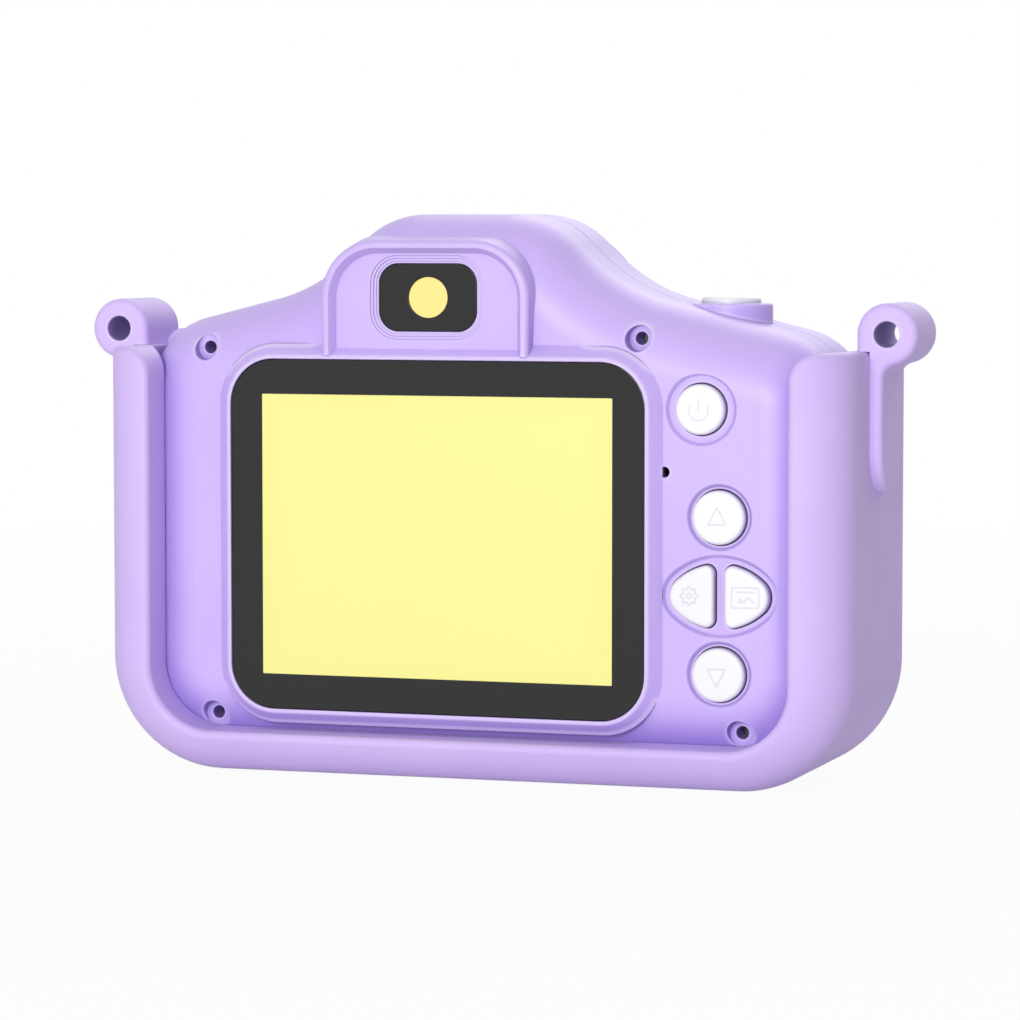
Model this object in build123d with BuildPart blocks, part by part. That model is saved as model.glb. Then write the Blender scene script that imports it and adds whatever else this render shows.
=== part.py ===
from build123d import *
import os

# Kids digital camera in a soft sleeve, in millimetres.
# Origin: middle of the sleeve's flat base. +X is right as seen from the screen, +Y is the lens side,
# +Z is up. The screen side is therefore the -Y side, called the back here.

os.makedirs("parts", exist_ok=True)

# ---- Driving dimensions -----------------------------------------------------------------------

# Display, which sets the window's size and where the buttons and the sides are
lcd_width = 45.6
lcd_height = 33.4
lcd_thickness = 2.7
lcd_corner_radius = 0.4
window_side_border = 1.25
window_end_border = 2.8
view_side_border = 2.0
view_end_border = 0.65
screen_x = -3.8
screen_z = 27.0
side_from_window = 20.15

# Housing outline, seen from the back
body_base_z = 2.7
shoulder_slope = 0.25
hump_x = -2.4
hump_top_z = 62.6
hump_foot_half = 17.4
hump_foot_z = 54.5
crown_half = 9.5
base_corner_radius = 10.0
shoulder_corner_radius = 8.5
crown_radius = 10.0
hump_foot_radius = 20.0

# Housing depth and walls
back_face_y = -12.6
front_face_y = 12.6
edge_radius = 7.5
wall = 2.0
parting_y = 0.0
parting_groove_width = 0.3
parting_groove_depth = 0.25

# Screen window and its frame
window_corner_radius = 5.0
window_thickness = 1.0
window_y = -13.6
rim_rise = 0.25
rim_width = 0.4
frame_slope_width = 1.3
window_clearance = 0.1
adhesive_thickness = 0.2
adhesive_width = 2.2

# Eyepiece arch
eyepiece_x = -4.93
arch_half_width = 12.0
arch_top_z = 59.7
arch_corner_radius = 6.3
arch_ridge_y = -14.15
arch_root_y = -9.0
arch_foot_flare = 0.3
arch_side_flare = 2.6
arch_top_flare = 0.66
arch_edge_radius = 0.6
ridge_width = 0.8
recess_y = -13.1
recess_draft = 0.62
eye_window_z = 53.44
eye_window_width = 11.3
eye_window_height = 7.36
eye_window_radius = 2.2
eye_window_y = -12.5
eye_window_thickness = 0.9
eye_step_count = 3
eye_step_width = 0.32
rear_lens_diameter = 4.5
rear_module_width = 8.6
rear_module_height = 5.6
rear_module_depth = 4.6
module_corner_radius = 0.4

# Back buttons: face height, dish and guide
cap_rise = 0.7
cap_gap = 0.15
cap_edge_radius = 0.45
dish_depth = 0.35
dish_floor_margin = 0.35
button_travel = 0.5
flange_margin = 0.45
flange_thickness = 0.8
flange_clearance = 0.1
stem_radius = 1.0
stem_reach = 0.6
power_from_window = 6.05
power_z = 41.55
power_diameter = 5.5
power_dish_diameter = 8.0
arrow_from_window = 8.15
arrow_diameter = 5.9
arrow_dish_diameter = 7.3
up_z = 29.9
down_z = 12.85
pair_from_window = 8.25
pair_z = 21.35
pair_half_length = 5.6
pair_half_height = 3.55
pair_end_radius = 2.2
pair_gap = 1.15
pair_corner_radius = 0.9
pair_dish_margin = 1.0
pinhole_from_window = 1.95
pinhole_z = 34.7
pinhole_diameter = 1.2

# Shutter button
shutter_x = 26.2
shutter_y = 0.0
collar_diameter = 9.2
collar_top_z = 52.8
collar_spigot_diameter = 8.0
collar_bottom_z = 47.4
collar_edge_radius = 0.3
shutter_cap_diameter = 6.6
shutter_cap_rise = 0.7
shutter_flange_diameter = 8.0
shutter_travel = 0.6
shutter_gap = 0.15

# Lanyard boss on the left shoulder
boss_from_side = 2.6
boss_z = 47.65
boss_radius = 2.0
boss_back_y = -4.5
boss_front_y = -1.0
boss_edge_radius = 0.6

# Sleeve
sleeve_wall = 2.8
sleeve_half_depth = 16.6
sleeve_top_z = 47.7
sleeve_corner_radius = 13.0
sleeve_edge_radius = 6.4
sleeve_gap = 0.1
lip_reach = 3.5
lip_edge_radius = 0.7
lip_inner_z = 4.9
lip_corner_radius = 7.2
lip_end_radius = 3.0
port_slot_x = -16.0
port_slot_y = -3.4
port_slot_width = 27.0
port_slot_depth = 11.0
port_slot_radius = 3.0

# Strap lugs
lug_from_sleeve = 1.87
lug_z = 49.6
lug_radius = 3.38
lug_hole_radius = 1.43
lug_back_y = -5.6
lug_front_y = 4.4
lug_edge_radius = 0.8
tab_thickness = 1.4
tab_bottom_z = 32.1
tab_fillet_radius = 1.6

# Front side
front_arch_half_width = 16.6
front_arch_radius = 14.5
front_arch_rise = 0.8
front_arch_drop = 0.15
front_arch_bottom_z = 34.0
front_arch_edge_radius = 2.5
lens_z = 28.5
lens_base_diameter = 37.0
lens_base_rise = 2.4
lens_base_edge_radius = 1.0
barrel_diameter = 31.0
barrel_front_y = 27.2
barrel_edge_radius = 1.2
barrel_neck_diameter = 20.0
barrel_neck_back_y = 10.0
cone_back_y = 17.5
cone_back_diameter = 11.0
glass_diameter = 24.6
glass_thickness = 1.2
glass_seat_width = 1.0
trim_front_y = 29.0
trim_diameter = 30.0
trim_inner_diameter = 21.0
trim_edge_radius = 0.6
lens_gap = 0.1
camera_block_width = 12.0
camera_block_depth = 6.0
camera_snout_diameter = 9.0
camera_snout_length = 6.5
flash_z = 54.0
flash_diameter = 6.0
flash_thickness = 1.4
flash_led_width = 3.5
flash_led_height = 1.5

# Housing screws
upper_screw_from_side = 8.7
upper_screw_z = 47.7
hump_screw_from_hump = 21.4
hump_screw_z = 49.1
left_screw_from_side = 9.5
right_screw_from_side = 9.9
lower_screw_z = 6.4
screw_recess_diameter = 2.9
screw_recess_floor_y = -10.4
screw_hole_diameter = 1.45
screw_boss_diameter = 5.0
screw_head_diameter = 2.7
screw_head_height = 1.0
screw_shank_diameter = 1.4
screw_tip_y = -7.4
screw_clearance_diameter = 1.7
screw_seat_y = 9.7

# Inner parts
holder_width = 3.5
inner_gap = 0.1
board_left_margin = 7.4
board_right_margin = 4.0
board_corner_radius = 1.0
board_bottom_z = 9.3
board_top_z = 44.9
board_thickness = 1.2
board_back_y = -6.15
board_screw_left_inset = 2.4
board_screw_right_inset = 1.8
board_screw_from_window = 2.15
board_screw_heights = (14.0, 40.0, 35.6, 11.3)
board_boss_diameter = 3.6
board_screw_diameter = 1.5
board_hole_diameter = 1.6
board_screw_head_diameter = 3.0
board_screw_head_height = 0.8
board_screw_length = 4.0
switch_width = 4.5
switch_height = 2.0
plunger_diameter = 2.2
plunger_height = 0.45
battery_width = 20.0
battery_height = 32.0
battery_thickness = 6.0
battery_edge_radius = 1.0
battery_x = -22.9
battery_z = 26.6
speaker_diameter = 13.0
speaker_thickness = 3.0
speaker_x = 26.0
speaker_z = 20.0
speaker_hole_diameter = 1.3
speaker_hole_circle = 3.2
microphone_diameter = 4.0
microphone_height = 1.6
usb_x = -8.5
usb_width = 9.0
usb_depth = 3.2
usb_length = 8.0
usb_wall = 0.3
usb_tongue_width = 7.2
usb_tongue_thickness = 0.8
card_x = -21.4
card_width = 13.0
card_depth = 1.6
card_length = 15.0
card_wall = 0.25
port_gap = 0.15
port_recess = 0.4
shutter_board_width = 11.5
shutter_board_depth = 9.4
shutter_board_thickness = 1.0

# ---- Values worked out from them --------------------------------------------------------------

window_width = lcd_width + 2 * window_side_border
window_height = lcd_height + 2 * window_end_border
view_width = lcd_width - 2 * view_side_border
view_height = lcd_height - 2 * view_end_border
window_right_x = screen_x + window_width / 2
power_x = window_right_x + power_from_window
arrow_x = window_right_x + arrow_from_window
pair_x = window_right_x + pair_from_window
pinhole_x = window_right_x + pinhole_from_window
body_half_width = window_right_x + side_from_window
sleeve_half_width = body_half_width + sleeve_wall
lip_inner_half_width = body_half_width - lip_reach
lug_x = sleeve_half_width + lug_from_sleeve
tab_outer_x = sleeve_half_width + tab_thickness
board_left_x = board_left_margin - body_half_width
board_right_x = body_half_width - board_right_margin
screw_places = [
    (upper_screw_from_side - body_half_width, upper_screw_z),
    (hump_x + hump_screw_from_hump, hump_screw_z),
    (left_screw_from_side - body_half_width, lower_screw_z),
    (body_half_width - right_screw_from_side, lower_screw_z),
]
board_screw_across = (
    board_left_x + board_screw_left_inset,
    board_left_x + board_screw_left_inset,
    board_right_x - board_screw_right_inset,
    window_right_x + board_screw_from_window,
)
board_screw_places = list(zip(board_screw_across, board_screw_heights))
inner_back_y = back_face_y + wall
inner_front_y = front_face_y - wall
board_front_y = board_back_y + board_thickness
window_back_y = window_y + window_thickness
rim_y = window_y - rim_rise
seat_y = window_back_y + adhesive_thickness
plunger_y = board_back_y - switch_height - plunger_height
cap_face_y = back_face_y - cap_rise
flange_y = inner_back_y + flange_clearance
stem_end_y = plunger_y - button_travel - cap_gap / 2


# ---- Shared planes, profiles and forms --------------------------------------------------------

def finish(part, name):
    """Label one finished piece and write it."""
    part.label = name
    export_step(part, f"parts/{name}.step")


def facing_back(y):
    """A plane across the camera at this depth, facing the screen side: local x is X, local y is Z."""
    return Plane.XZ.offset(-y)


def body_outline(plane, margin):
    """The housing's outline with tangent corners, grown by a margin."""
    right_end_z = hump_foot_z - shoulder_slope * (body_half_width - hump_x - hump_foot_half)
    left_end_z = hump_foot_z - shoulder_slope * (body_half_width + hump_x - hump_foot_half)
    corners = [
        (-body_half_width, body_base_z),
        (body_half_width, body_base_z),
        (body_half_width, right_end_z),
        (hump_x + hump_foot_half, hump_foot_z),
        (hump_x + crown_half, hump_top_z),
        (hump_x - crown_half, hump_top_z),
        (hump_x - hump_foot_half, hump_foot_z),
        (-body_half_width, left_end_z),
    ]
    radii = [
        base_corner_radius,
        base_corner_radius,
        shoulder_corner_radius,
        hump_foot_radius,
        crown_radius,
        crown_radius,
        hump_foot_radius,
        shoulder_corner_radius,
    ]
    with BuildSketch(plane, mode=Mode.PRIVATE) as outline:
        with BuildLine():
            FilletPolyline(*corners, radius=radii, close=True)
        make_face()
        if margin != 0:
            offset(amount=margin)
    return outline.sketch


def body_form(margin):
    """The whole housing as a pillow with rounded back and front edges, grown by a margin."""
    with BuildPart(mode=Mode.PRIVATE) as form:
        outline = body_outline(facing_back(front_face_y + margin), margin)
        extrude(outline, amount=front_face_y - back_face_y + 2 * margin)
        fillet(form.faces().filter_by(Axis.Y).edges(), radius=edge_radius + margin)
    return form.part


def arch_profile(plane, centre_x, foot_half_width, top_half_width, top_z, bottom_z, radius):
    """An upright block with two round top corners, whose sides may lean outwards."""
    with BuildSketch(plane, mode=Mode.PRIVATE) as profile:
        with BuildLine():
            FilletPolyline(
                (centre_x - foot_half_width, bottom_z),
                (centre_x - top_half_width, top_z),
                (centre_x + top_half_width, top_z),
                (centre_x + foot_half_width, bottom_z),
                radius=radius,
            )
            Line((centre_x + foot_half_width, bottom_z), (centre_x - foot_half_width, bottom_z))
        make_face()
    return profile.sketch


def rounded_panel(plane, x, z, width, height, radius):
    """A rounded rectangle centred on x and z."""
    with BuildSketch(plane, mode=Mode.PRIVATE) as panel:
        with Locations((x, z)):
            RectangleRounded(width, height, radius)
    return panel.sketch


def disc(plane, x, z, diameter):
    """A round profile at x and z."""
    with BuildSketch(plane, mode=Mode.PRIVATE) as profile:
        with Locations((x, z)):
            Circle(diameter / 2)
    return profile.sketch


def discs(plane, places, diameter):
    """Round profiles at each of the places."""
    with BuildSketch(plane, mode=Mode.PRIVATE) as profile:
        with Locations(*places):
            Circle(diameter / 2)
    return profile.sketch


def draw_oval(margin):
    """Draw the oval round the pair of D-shaped buttons, as four tangent arcs grown by a margin."""
    half_length = pair_half_length + margin
    half_height = pair_half_height + margin
    end_radius = pair_end_radius + margin
    flank_radius = (half_length ** 2 + half_height ** 2 - 2 * half_length * end_radius) / (
        2 * (half_height - end_radius))
    flank_offset = flank_radius - half_height
    with Locations((pair_x, pair_z + flank_offset)):
        Circle(flank_radius)
    with Locations((pair_x, pair_z - flank_offset)):
        Circle(flank_radius, mode=Mode.INTERSECT)
    fillet(vertices(), radius=end_radius)


def oval(plane, margin):
    """The oval on a plane."""
    with BuildSketch(plane, mode=Mode.PRIVATE) as profile:
        draw_oval(margin)
    return profile.sketch


def half_oval(plane, side, margin):
    """One of the two facing D shapes, grown by a margin. Side is -1 for the left and 1 for the right."""
    with BuildSketch(plane, mode=Mode.PRIVATE) as profile:
        draw_oval(0)
        with Locations((pair_x - side * (pair_half_length - pair_gap / 2), pair_z)):
            Rectangle(2 * pair_half_length, 2 * pair_half_length, mode=Mode.SUBTRACT)
        fillet(vertices().sort_by(lambda corner: abs(corner.X - pair_x))[:2], radius=pair_corner_radius)
        if margin != 0:
            offset(amount=margin)
    return profile.sketch


def port_profile(plane, x, width, depth, margin):
    """A flat-sided slot on the board's lens side, grown by a margin."""
    with BuildSketch(plane, mode=Mode.PRIVATE) as profile:
        with Locations((x, board_front_y + depth / 2)):
            Rectangle(width + 2 * margin, depth + 2 * margin)
    return profile.sketch


outer_form = body_form(0)
inner_form = body_form(-wall)
rear_half = Plane.XZ.offset(-parting_y)

# The fine groove that runs round the camera between its two shells
groove_plane = facing_back(parting_y + parting_groove_width / 2)
with BuildPart() as parting_groove:
    extrude(body_outline(groove_plane, wall), amount=parting_groove_width)
    extrude(body_outline(groove_plane, -parting_groove_depth), amount=parting_groove_width,
            mode=Mode.SUBTRACT)

# ---- Bosses that the screws run in ------------------------------------------------------------

with BuildPart() as rear_bosses:
    extrude(discs(facing_back(parting_y), screw_places, screw_boss_diameter),
            amount=parting_y - back_face_y)
    extrude(discs(facing_back(board_back_y), board_screw_places, board_boss_diameter),
            amount=board_back_y - back_face_y)
    add(outer_form, mode=Mode.INTERSECT)

with BuildPart() as front_bosses:
    extrude(discs(facing_back(front_face_y), screw_places, screw_boss_diameter),
            amount=front_face_y - parting_y)
    add(outer_form, mode=Mode.INTERSECT)

# ---- Rear shell -------------------------------------------------------------------------------

pocket_width = window_width + 2 * window_clearance
pocket_height = window_height + 2 * window_clearance
pocket_radius = window_corner_radius + window_clearance
rim_outer_width = pocket_width + 2 * rim_width
rim_outer_height = pocket_height + 2 * rim_width
rim_radius = pocket_radius + rim_width
arch_bottom_z = screen_z + rim_outer_height / 2
recess_half_width = arch_half_width - ridge_width
recess_top_z = arch_top_z - ridge_width
recess_radius = arch_corner_radius - ridge_width
recess_floor_half_width = recess_half_width - recess_draft

# Eyepiece arch, leaning out to its root in the housing, with a round outer edge
with BuildPart() as eyepiece_arch:
    loft([
        arch_profile(facing_back(arch_ridge_y), eyepiece_x, arch_half_width, arch_half_width,
                     arch_top_z, arch_bottom_z, arch_corner_radius),
        arch_profile(facing_back(arch_root_y), eyepiece_x, arch_half_width + arch_foot_flare,
                     arch_half_width + arch_side_flare, arch_top_z + arch_top_flare, arch_bottom_z,
                     arch_corner_radius + arch_top_flare),
    ], ruled=True)
    fillet(eyepiece_arch.faces().sort_by(Axis.Y)[0].edges().sort_by(Axis.Z)[1:],
           radius=arch_edge_radius)

with BuildPart() as rear_shell:
    add(outer_form)
    split(bisect_by=rear_half, keep=Keep.TOP)

    # Lanyard boss on the left shoulder
    with BuildPart(mode=Mode.PRIVATE) as lanyard_boss:
        extrude(disc(facing_back(boss_front_y), boss_from_side - body_half_width, boss_z,
                     2 * boss_radius), amount=boss_front_y - boss_back_y)
        fillet(lanyard_boss.edges(), radius=boss_edge_radius)
    add(lanyard_boss.part)

    # The arch, and the recess between its legs
    add(eyepiece_arch.part)
    loft([
        arch_profile(facing_back(arch_ridge_y), eyepiece_x, recess_half_width, recess_half_width,
                     recess_top_z, arch_bottom_z - ridge_width, recess_radius),
        arch_profile(facing_back(recess_y), eyepiece_x, recess_floor_half_width,
                     recess_floor_half_width, recess_top_z - recess_draft,
                     arch_bottom_z - ridge_width, recess_radius - recess_draft),
    ], ruled=True, mode=Mode.SUBTRACT)

    # Raised screen frame with a sloping outer band
    loft([
        rounded_panel(facing_back(back_face_y), screen_x, screen_z,
                      rim_outer_width + 2 * frame_slope_width,
                      rim_outer_height + 2 * frame_slope_width, rim_radius + frame_slope_width),
        rounded_panel(facing_back(rim_y), screen_x, screen_z, rim_outer_width, rim_outer_height,
                      rim_radius),
    ], ruled=True)

    # Hollow inside, then the bosses
    add(parting_groove.part, mode=Mode.SUBTRACT)
    add(inner_form, mode=Mode.SUBTRACT)
    add(rear_bosses.part)

    # Screen pocket and the opening behind it
    extrude(rounded_panel(facing_back(seat_y), screen_x, screen_z, pocket_width, pocket_height,
                          pocket_radius), amount=seat_y - rim_y, mode=Mode.SUBTRACT)
    extrude(rounded_panel(facing_back(inner_back_y), screen_x, screen_z, view_width, view_height,
                          lcd_corner_radius), amount=inner_back_y - rim_y, mode=Mode.SUBTRACT)

    # Stepped seat of the eyepiece window, open behind for the camera module
    step_drop = (eye_window_y - recess_y) / (eye_step_count + 1)
    for step in range(eye_step_count):
        grow = eye_step_width * (eye_step_count - step)
        step_y = recess_y + step_drop * (step + 1)
        extrude(rounded_panel(facing_back(step_y), eyepiece_x, eye_window_z,
                              eye_window_width + 2 * grow, eye_window_height + 2 * grow,
                              eye_window_radius + grow), amount=step_y - recess_y, mode=Mode.SUBTRACT)
    eye_seat_y = eye_window_y + eye_window_thickness
    extrude(rounded_panel(facing_back(eye_seat_y), eyepiece_x, eye_window_z,
                          eye_window_width + 2 * window_clearance,
                          eye_window_height + 2 * window_clearance,
                          eye_window_radius + window_clearance),
            amount=eye_seat_y - recess_y, mode=Mode.SUBTRACT)
    extrude(rounded_panel(facing_back(parting_y), eyepiece_x, eye_window_z, rear_module_width
                          + 2 * inner_gap, rear_module_height + 2 * inner_gap, module_corner_radius),
            amount=parting_y - recess_y, mode=Mode.SUBTRACT)

    # Screw recesses with a flat floor, and the pilot holes
    extrude(discs(facing_back(screw_recess_floor_y), screw_places, screw_recess_diameter),
            amount=screw_recess_floor_y - back_face_y, mode=Mode.SUBTRACT)
    extrude(discs(facing_back(parting_y), screw_places, screw_hole_diameter),
            amount=parting_y - back_face_y, mode=Mode.SUBTRACT)
    extrude(discs(facing_back(board_back_y), board_screw_places, board_hole_diameter),
            amount=board_screw_length - board_thickness, mode=Mode.SUBTRACT)

    # Round button guides, each in a shallow sloping dish
    round_buttons = [
        (power_x, power_z, power_diameter, power_dish_diameter),
        (arrow_x, up_z, arrow_diameter, arrow_dish_diameter),
        (arrow_x, down_z, arrow_diameter, arrow_dish_diameter),
    ]
    for x, z, cap_diameter, dish_diameter in round_buttons:
        loft([
            disc(facing_back(back_face_y), x, z, dish_diameter),
            disc(facing_back(back_face_y + dish_depth), x, z, dish_diameter - 2 * dish_floor_margin),
        ], ruled=True, mode=Mode.SUBTRACT)
        extrude(disc(facing_back(parting_y), x, z, cap_diameter + 2 * cap_gap),
                amount=parting_y - back_face_y, mode=Mode.SUBTRACT)
        extrude(disc(facing_back(plunger_y), x, z, cap_diameter + 2 * (flange_margin + cap_gap)),
                amount=plunger_y - inner_back_y, mode=Mode.SUBTRACT)

    # Oval dish with the two D-shaped guides
    loft([
        oval(facing_back(back_face_y), pair_dish_margin),
        oval(facing_back(back_face_y + dish_depth), pair_dish_margin - dish_floor_margin),
    ], ruled=True, mode=Mode.SUBTRACT)
    for side in (-1, 1):
        extrude(half_oval(facing_back(parting_y), side, cap_gap), amount=parting_y - back_face_y,
                mode=Mode.SUBTRACT)
    extrude(oval(facing_back(plunger_y), flange_margin + cap_gap), amount=plunger_y - inner_back_y,
            mode=Mode.SUBTRACT)

    # Slots in the base for the charging socket and the memory card
    extrude(port_profile(Plane.XY.offset(body_base_z), usb_x, usb_width, usb_depth, port_gap),
            amount=wall, mode=Mode.SUBTRACT)
    extrude(port_profile(Plane.XY.offset(body_base_z), card_x, card_width, card_depth, port_gap),
            amount=wall, mode=Mode.SUBTRACT)

    # Sound hole and the half of the shutter collar's seat
    extrude(disc(facing_back(parting_y), pinhole_x, pinhole_z, pinhole_diameter),
            amount=parting_y - back_face_y, mode=Mode.SUBTRACT)
    with BuildSketch(Plane.XY.offset(collar_bottom_z)):
        with Locations((shutter_x, shutter_y)):
            Circle(collar_spigot_diameter / 2 + inner_gap)
    extrude(amount=collar_top_z - collar_bottom_z, mode=Mode.SUBTRACT)

finish(rear_shell.part, "rear_shell")

# ---- Front shell ------------------------------------------------------------------------------

with BuildPart() as front_arch:
    extrude(arch_profile(facing_back(front_face_y + front_arch_rise), hump_x, front_arch_half_width,
                         front_arch_half_width, hump_top_z - front_arch_drop, front_arch_bottom_z,
                         front_arch_radius),
            amount=front_face_y + front_arch_rise - parting_y)
    fillet(front_arch.faces().sort_by(Axis.Y)[-1].edges(), radius=front_arch_edge_radius)

lens_seat_y = front_face_y + lens_base_rise
with BuildPart() as lens_base:
    extrude(disc(facing_back(lens_seat_y), hump_x, lens_z, lens_base_diameter),
            amount=lens_seat_y - inner_front_y)
    fillet(lens_base.faces().sort_by(Axis.Y)[-1].edges(), radius=lens_base_edge_radius)

with BuildPart() as front_shell:
    add(outer_form)
    split(bisect_by=rear_half, keep=Keep.BOTTOM)
    add(front_arch.part)
    add(lens_base.part)
    add(parting_groove.part, mode=Mode.SUBTRACT)
    add(inner_form, mode=Mode.SUBTRACT)
    add(front_bosses.part)

    # Screw clearance holes and head recesses
    extrude(discs(facing_back(front_face_y), screw_places, screw_clearance_diameter),
            amount=front_face_y - parting_y, mode=Mode.SUBTRACT)
    extrude(discs(facing_back(front_face_y), screw_places, screw_recess_diameter),
            amount=front_face_y - screw_seat_y, mode=Mode.SUBTRACT)

    # Bore for the lens barrel's neck, flash window, speaker grille and the collar's seat
    extrude(disc(facing_back(lens_seat_y), hump_x, lens_z, barrel_neck_diameter + 2 * lens_gap),
            amount=lens_seat_y - parting_y, mode=Mode.SUBTRACT)
    flash_seat_y = front_face_y + front_arch_rise - flash_thickness
    extrude(disc(facing_back(front_face_y + front_arch_rise), hump_x, flash_z,
                 flash_diameter + 2 * lens_gap), amount=flash_thickness, mode=Mode.SUBTRACT)
    extrude(rounded_panel(facing_back(flash_seat_y), hump_x, flash_z, flash_led_width + 2 * lens_gap,
                          flash_led_width + 2 * lens_gap, lens_gap),
            amount=flash_seat_y - parting_y, mode=Mode.SUBTRACT)
    with BuildSketch(facing_back(front_face_y)):
        with Locations((speaker_x, speaker_z)):
            Circle(speaker_hole_diameter / 2)
            with PolarLocations(speaker_hole_circle, 6):
                Circle(speaker_hole_diameter / 2)
    extrude(amount=wall, mode=Mode.SUBTRACT)
    with BuildSketch(Plane.XY.offset(collar_bottom_z)):
        with Locations((shutter_x, shutter_y)):
            Circle(collar_spigot_diameter / 2 + inner_gap)
    extrude(amount=collar_top_z - collar_bottom_z, mode=Mode.SUBTRACT)

finish(front_shell.part, "front_shell")

# ---- Silicone sleeve --------------------------------------------------------------------------

with BuildPart() as sleeve_block:
    with BuildSketch(facing_back(sleeve_half_depth)):
        with BuildLine():
            FilletPolyline(
                (-sleeve_half_width, sleeve_top_z),
                (-sleeve_half_width, 0),
                (sleeve_half_width, 0),
                (sleeve_half_width, sleeve_top_z),
                radius=sleeve_corner_radius,
            )
            Line((sleeve_half_width, sleeve_top_z), (-sleeve_half_width, sleeve_top_z))
        make_face()
    extrude(amount=2 * sleeve_half_depth)
    top_edges = sleeve_block.faces().sort_by(Axis.Z)[-1].edges()
    end_edges = sleeve_block.faces().filter_by(Axis.Y).edges()
    fillet([edge for edge in end_edges if edge not in top_edges], radius=sleeve_edge_radius)

# The room for the camera: its lower outline, carried straight up past the sleeve's top
with BuildPart() as sleeve_room:
    with BuildSketch(facing_back(front_face_y + sleeve_gap)):
        with BuildLine():
            FilletPolyline(
                (-body_half_width - sleeve_gap, hump_top_z),
                (-body_half_width - sleeve_gap, body_base_z - sleeve_gap),
                (body_half_width + sleeve_gap, body_base_z - sleeve_gap),
                (body_half_width + sleeve_gap, hump_top_z),
                radius=base_corner_radius + sleeve_gap,
            )
            Line((body_half_width + sleeve_gap, hump_top_z), (-body_half_width - sleeve_gap, hump_top_z))
        make_face()
    extrude(amount=front_face_y - back_face_y + 2 * sleeve_gap)
    room_top_edges = sleeve_room.faces().sort_by(Axis.Z)[-1].edges()
    room_end_edges = sleeve_room.faces().filter_by(Axis.Y).edges()
    fillet([edge for edge in room_end_edges if edge not in room_top_edges],
           radius=edge_radius + sleeve_gap)

with BuildPart() as silicone_sleeve:
    add(sleeve_block.part)

    # Open middle between the lips, with rounded ends at the top
    with BuildSketch(facing_back(sleeve_half_depth)):
        with BuildLine():
            FilletPolyline(
                (-sleeve_half_width, sleeve_top_z),
                (-lip_inner_half_width, sleeve_top_z),
                (-lip_inner_half_width, lip_inner_z),
                (lip_inner_half_width, lip_inner_z),
                (lip_inner_half_width, sleeve_top_z),
                (sleeve_half_width, sleeve_top_z),
                radius=[lip_end_radius, lip_corner_radius, lip_corner_radius, lip_end_radius],
            )
            Polyline(
                (sleeve_half_width, sleeve_top_z),
                (sleeve_half_width, sleeve_top_z + lip_end_radius),
                (-sleeve_half_width, sleeve_top_z + lip_end_radius),
                (-sleeve_half_width, sleeve_top_z),
            )
        make_face()
    extrude(amount=2 * sleeve_half_depth, mode=Mode.SUBTRACT)

    # Round the lips' inner edges, then cut the room
    lip_edges = silicone_sleeve.edges(Select.LAST).filter_by(
        lambda edge: abs(edge.center().Y) > front_face_y and edge.center().Z < sleeve_top_z - sleeve_gap)
    fillet(lip_edges, radius=lip_edge_radius)
    add(sleeve_room.part, mode=Mode.SUBTRACT)

    # Slot under the charging socket and the card slot
    with BuildSketch(Plane.XY):
        with Locations((port_slot_x, port_slot_y)):
            RectangleRounded(port_slot_width, port_slot_depth, port_slot_radius)
    extrude(amount=body_base_z + sleeve_gap, mode=Mode.SUBTRACT)

finish(silicone_sleeve.part, "silicone_sleeve")

# ---- Strap lugs, moulded on the sleeve's sides -------------------------------------------------

lug_depth = lug_front_y - lug_back_y
tab_end_radius = lug_depth / 2
for side, name in ((-1, "left_strap_lug"), (1, "right_strap_lug")):
    with BuildPart() as lug:
        with BuildSketch(facing_back(lug_front_y)) as lug_section:
            with Locations((side * (lug_x - lug_radius + tab_outer_x) / 2, (lug_z + tab_bottom_z) / 2)):
                Rectangle(tab_outer_x - lug_x + lug_radius, lug_z - tab_bottom_z)
            with Locations((side * lug_x, lug_z)):
                Circle(lug_radius)
            corner = lug_section.vertices().filter_by(
                lambda v: abs(v.Y - lug_z) < lug_radius and abs(abs(v.X) - tab_outer_x) < inner_gap)
            fillet(corner, radius=tab_fillet_radius)
        extrude(amount=lug_depth)
        with BuildSketch(Plane.YZ.offset(side * lug_x - lug_radius * 2)):
            with Locations(((lug_front_y + lug_back_y) / 2, tab_bottom_z + tab_end_radius)):
                Circle(tab_end_radius)
                with Locations((0, (lug_z + lug_radius - tab_bottom_z) / 2)):
                    Rectangle(lug_depth, lug_z + lug_radius - tab_bottom_z)
        extrude(amount=4 * lug_radius, mode=Mode.INTERSECT)
        add(sleeve_block.part, mode=Mode.SUBTRACT)
        lug_ends = lug.faces().filter_by(Axis.Y).edges().filter_by(GeomType.CIRCLE)
        fillet(lug_ends.filter_by(lambda edge: edge.center(CenterOf.BOUNDING_BOX).Z > lug_z - lug_radius),
               radius=lug_edge_radius)
        extrude(disc(facing_back(lug_front_y), side * lug_x, lug_z, 2 * lug_hole_radius),
                amount=lug_depth, mode=Mode.SUBTRACT)
    finish(lug.part, name)

# ---- Screen and display -----------------------------------------------------------------------

with BuildPart() as screen_window:
    extrude(rounded_panel(facing_back(window_back_y), screen_x, screen_z, window_width, window_height,
                          window_corner_radius), amount=window_thickness)
finish(screen_window.part, "screen_window")

with BuildPart() as window_adhesive:
    extrude(rounded_panel(facing_back(seat_y), screen_x, screen_z, window_width, window_height,
                          window_corner_radius), amount=adhesive_thickness)
    extrude(rounded_panel(facing_back(seat_y), screen_x, screen_z, window_width - 2 * adhesive_width,
                          window_height - 2 * adhesive_width, window_corner_radius - adhesive_width),
            amount=adhesive_thickness, mode=Mode.SUBTRACT)
finish(window_adhesive.part, "window_adhesive")

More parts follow.
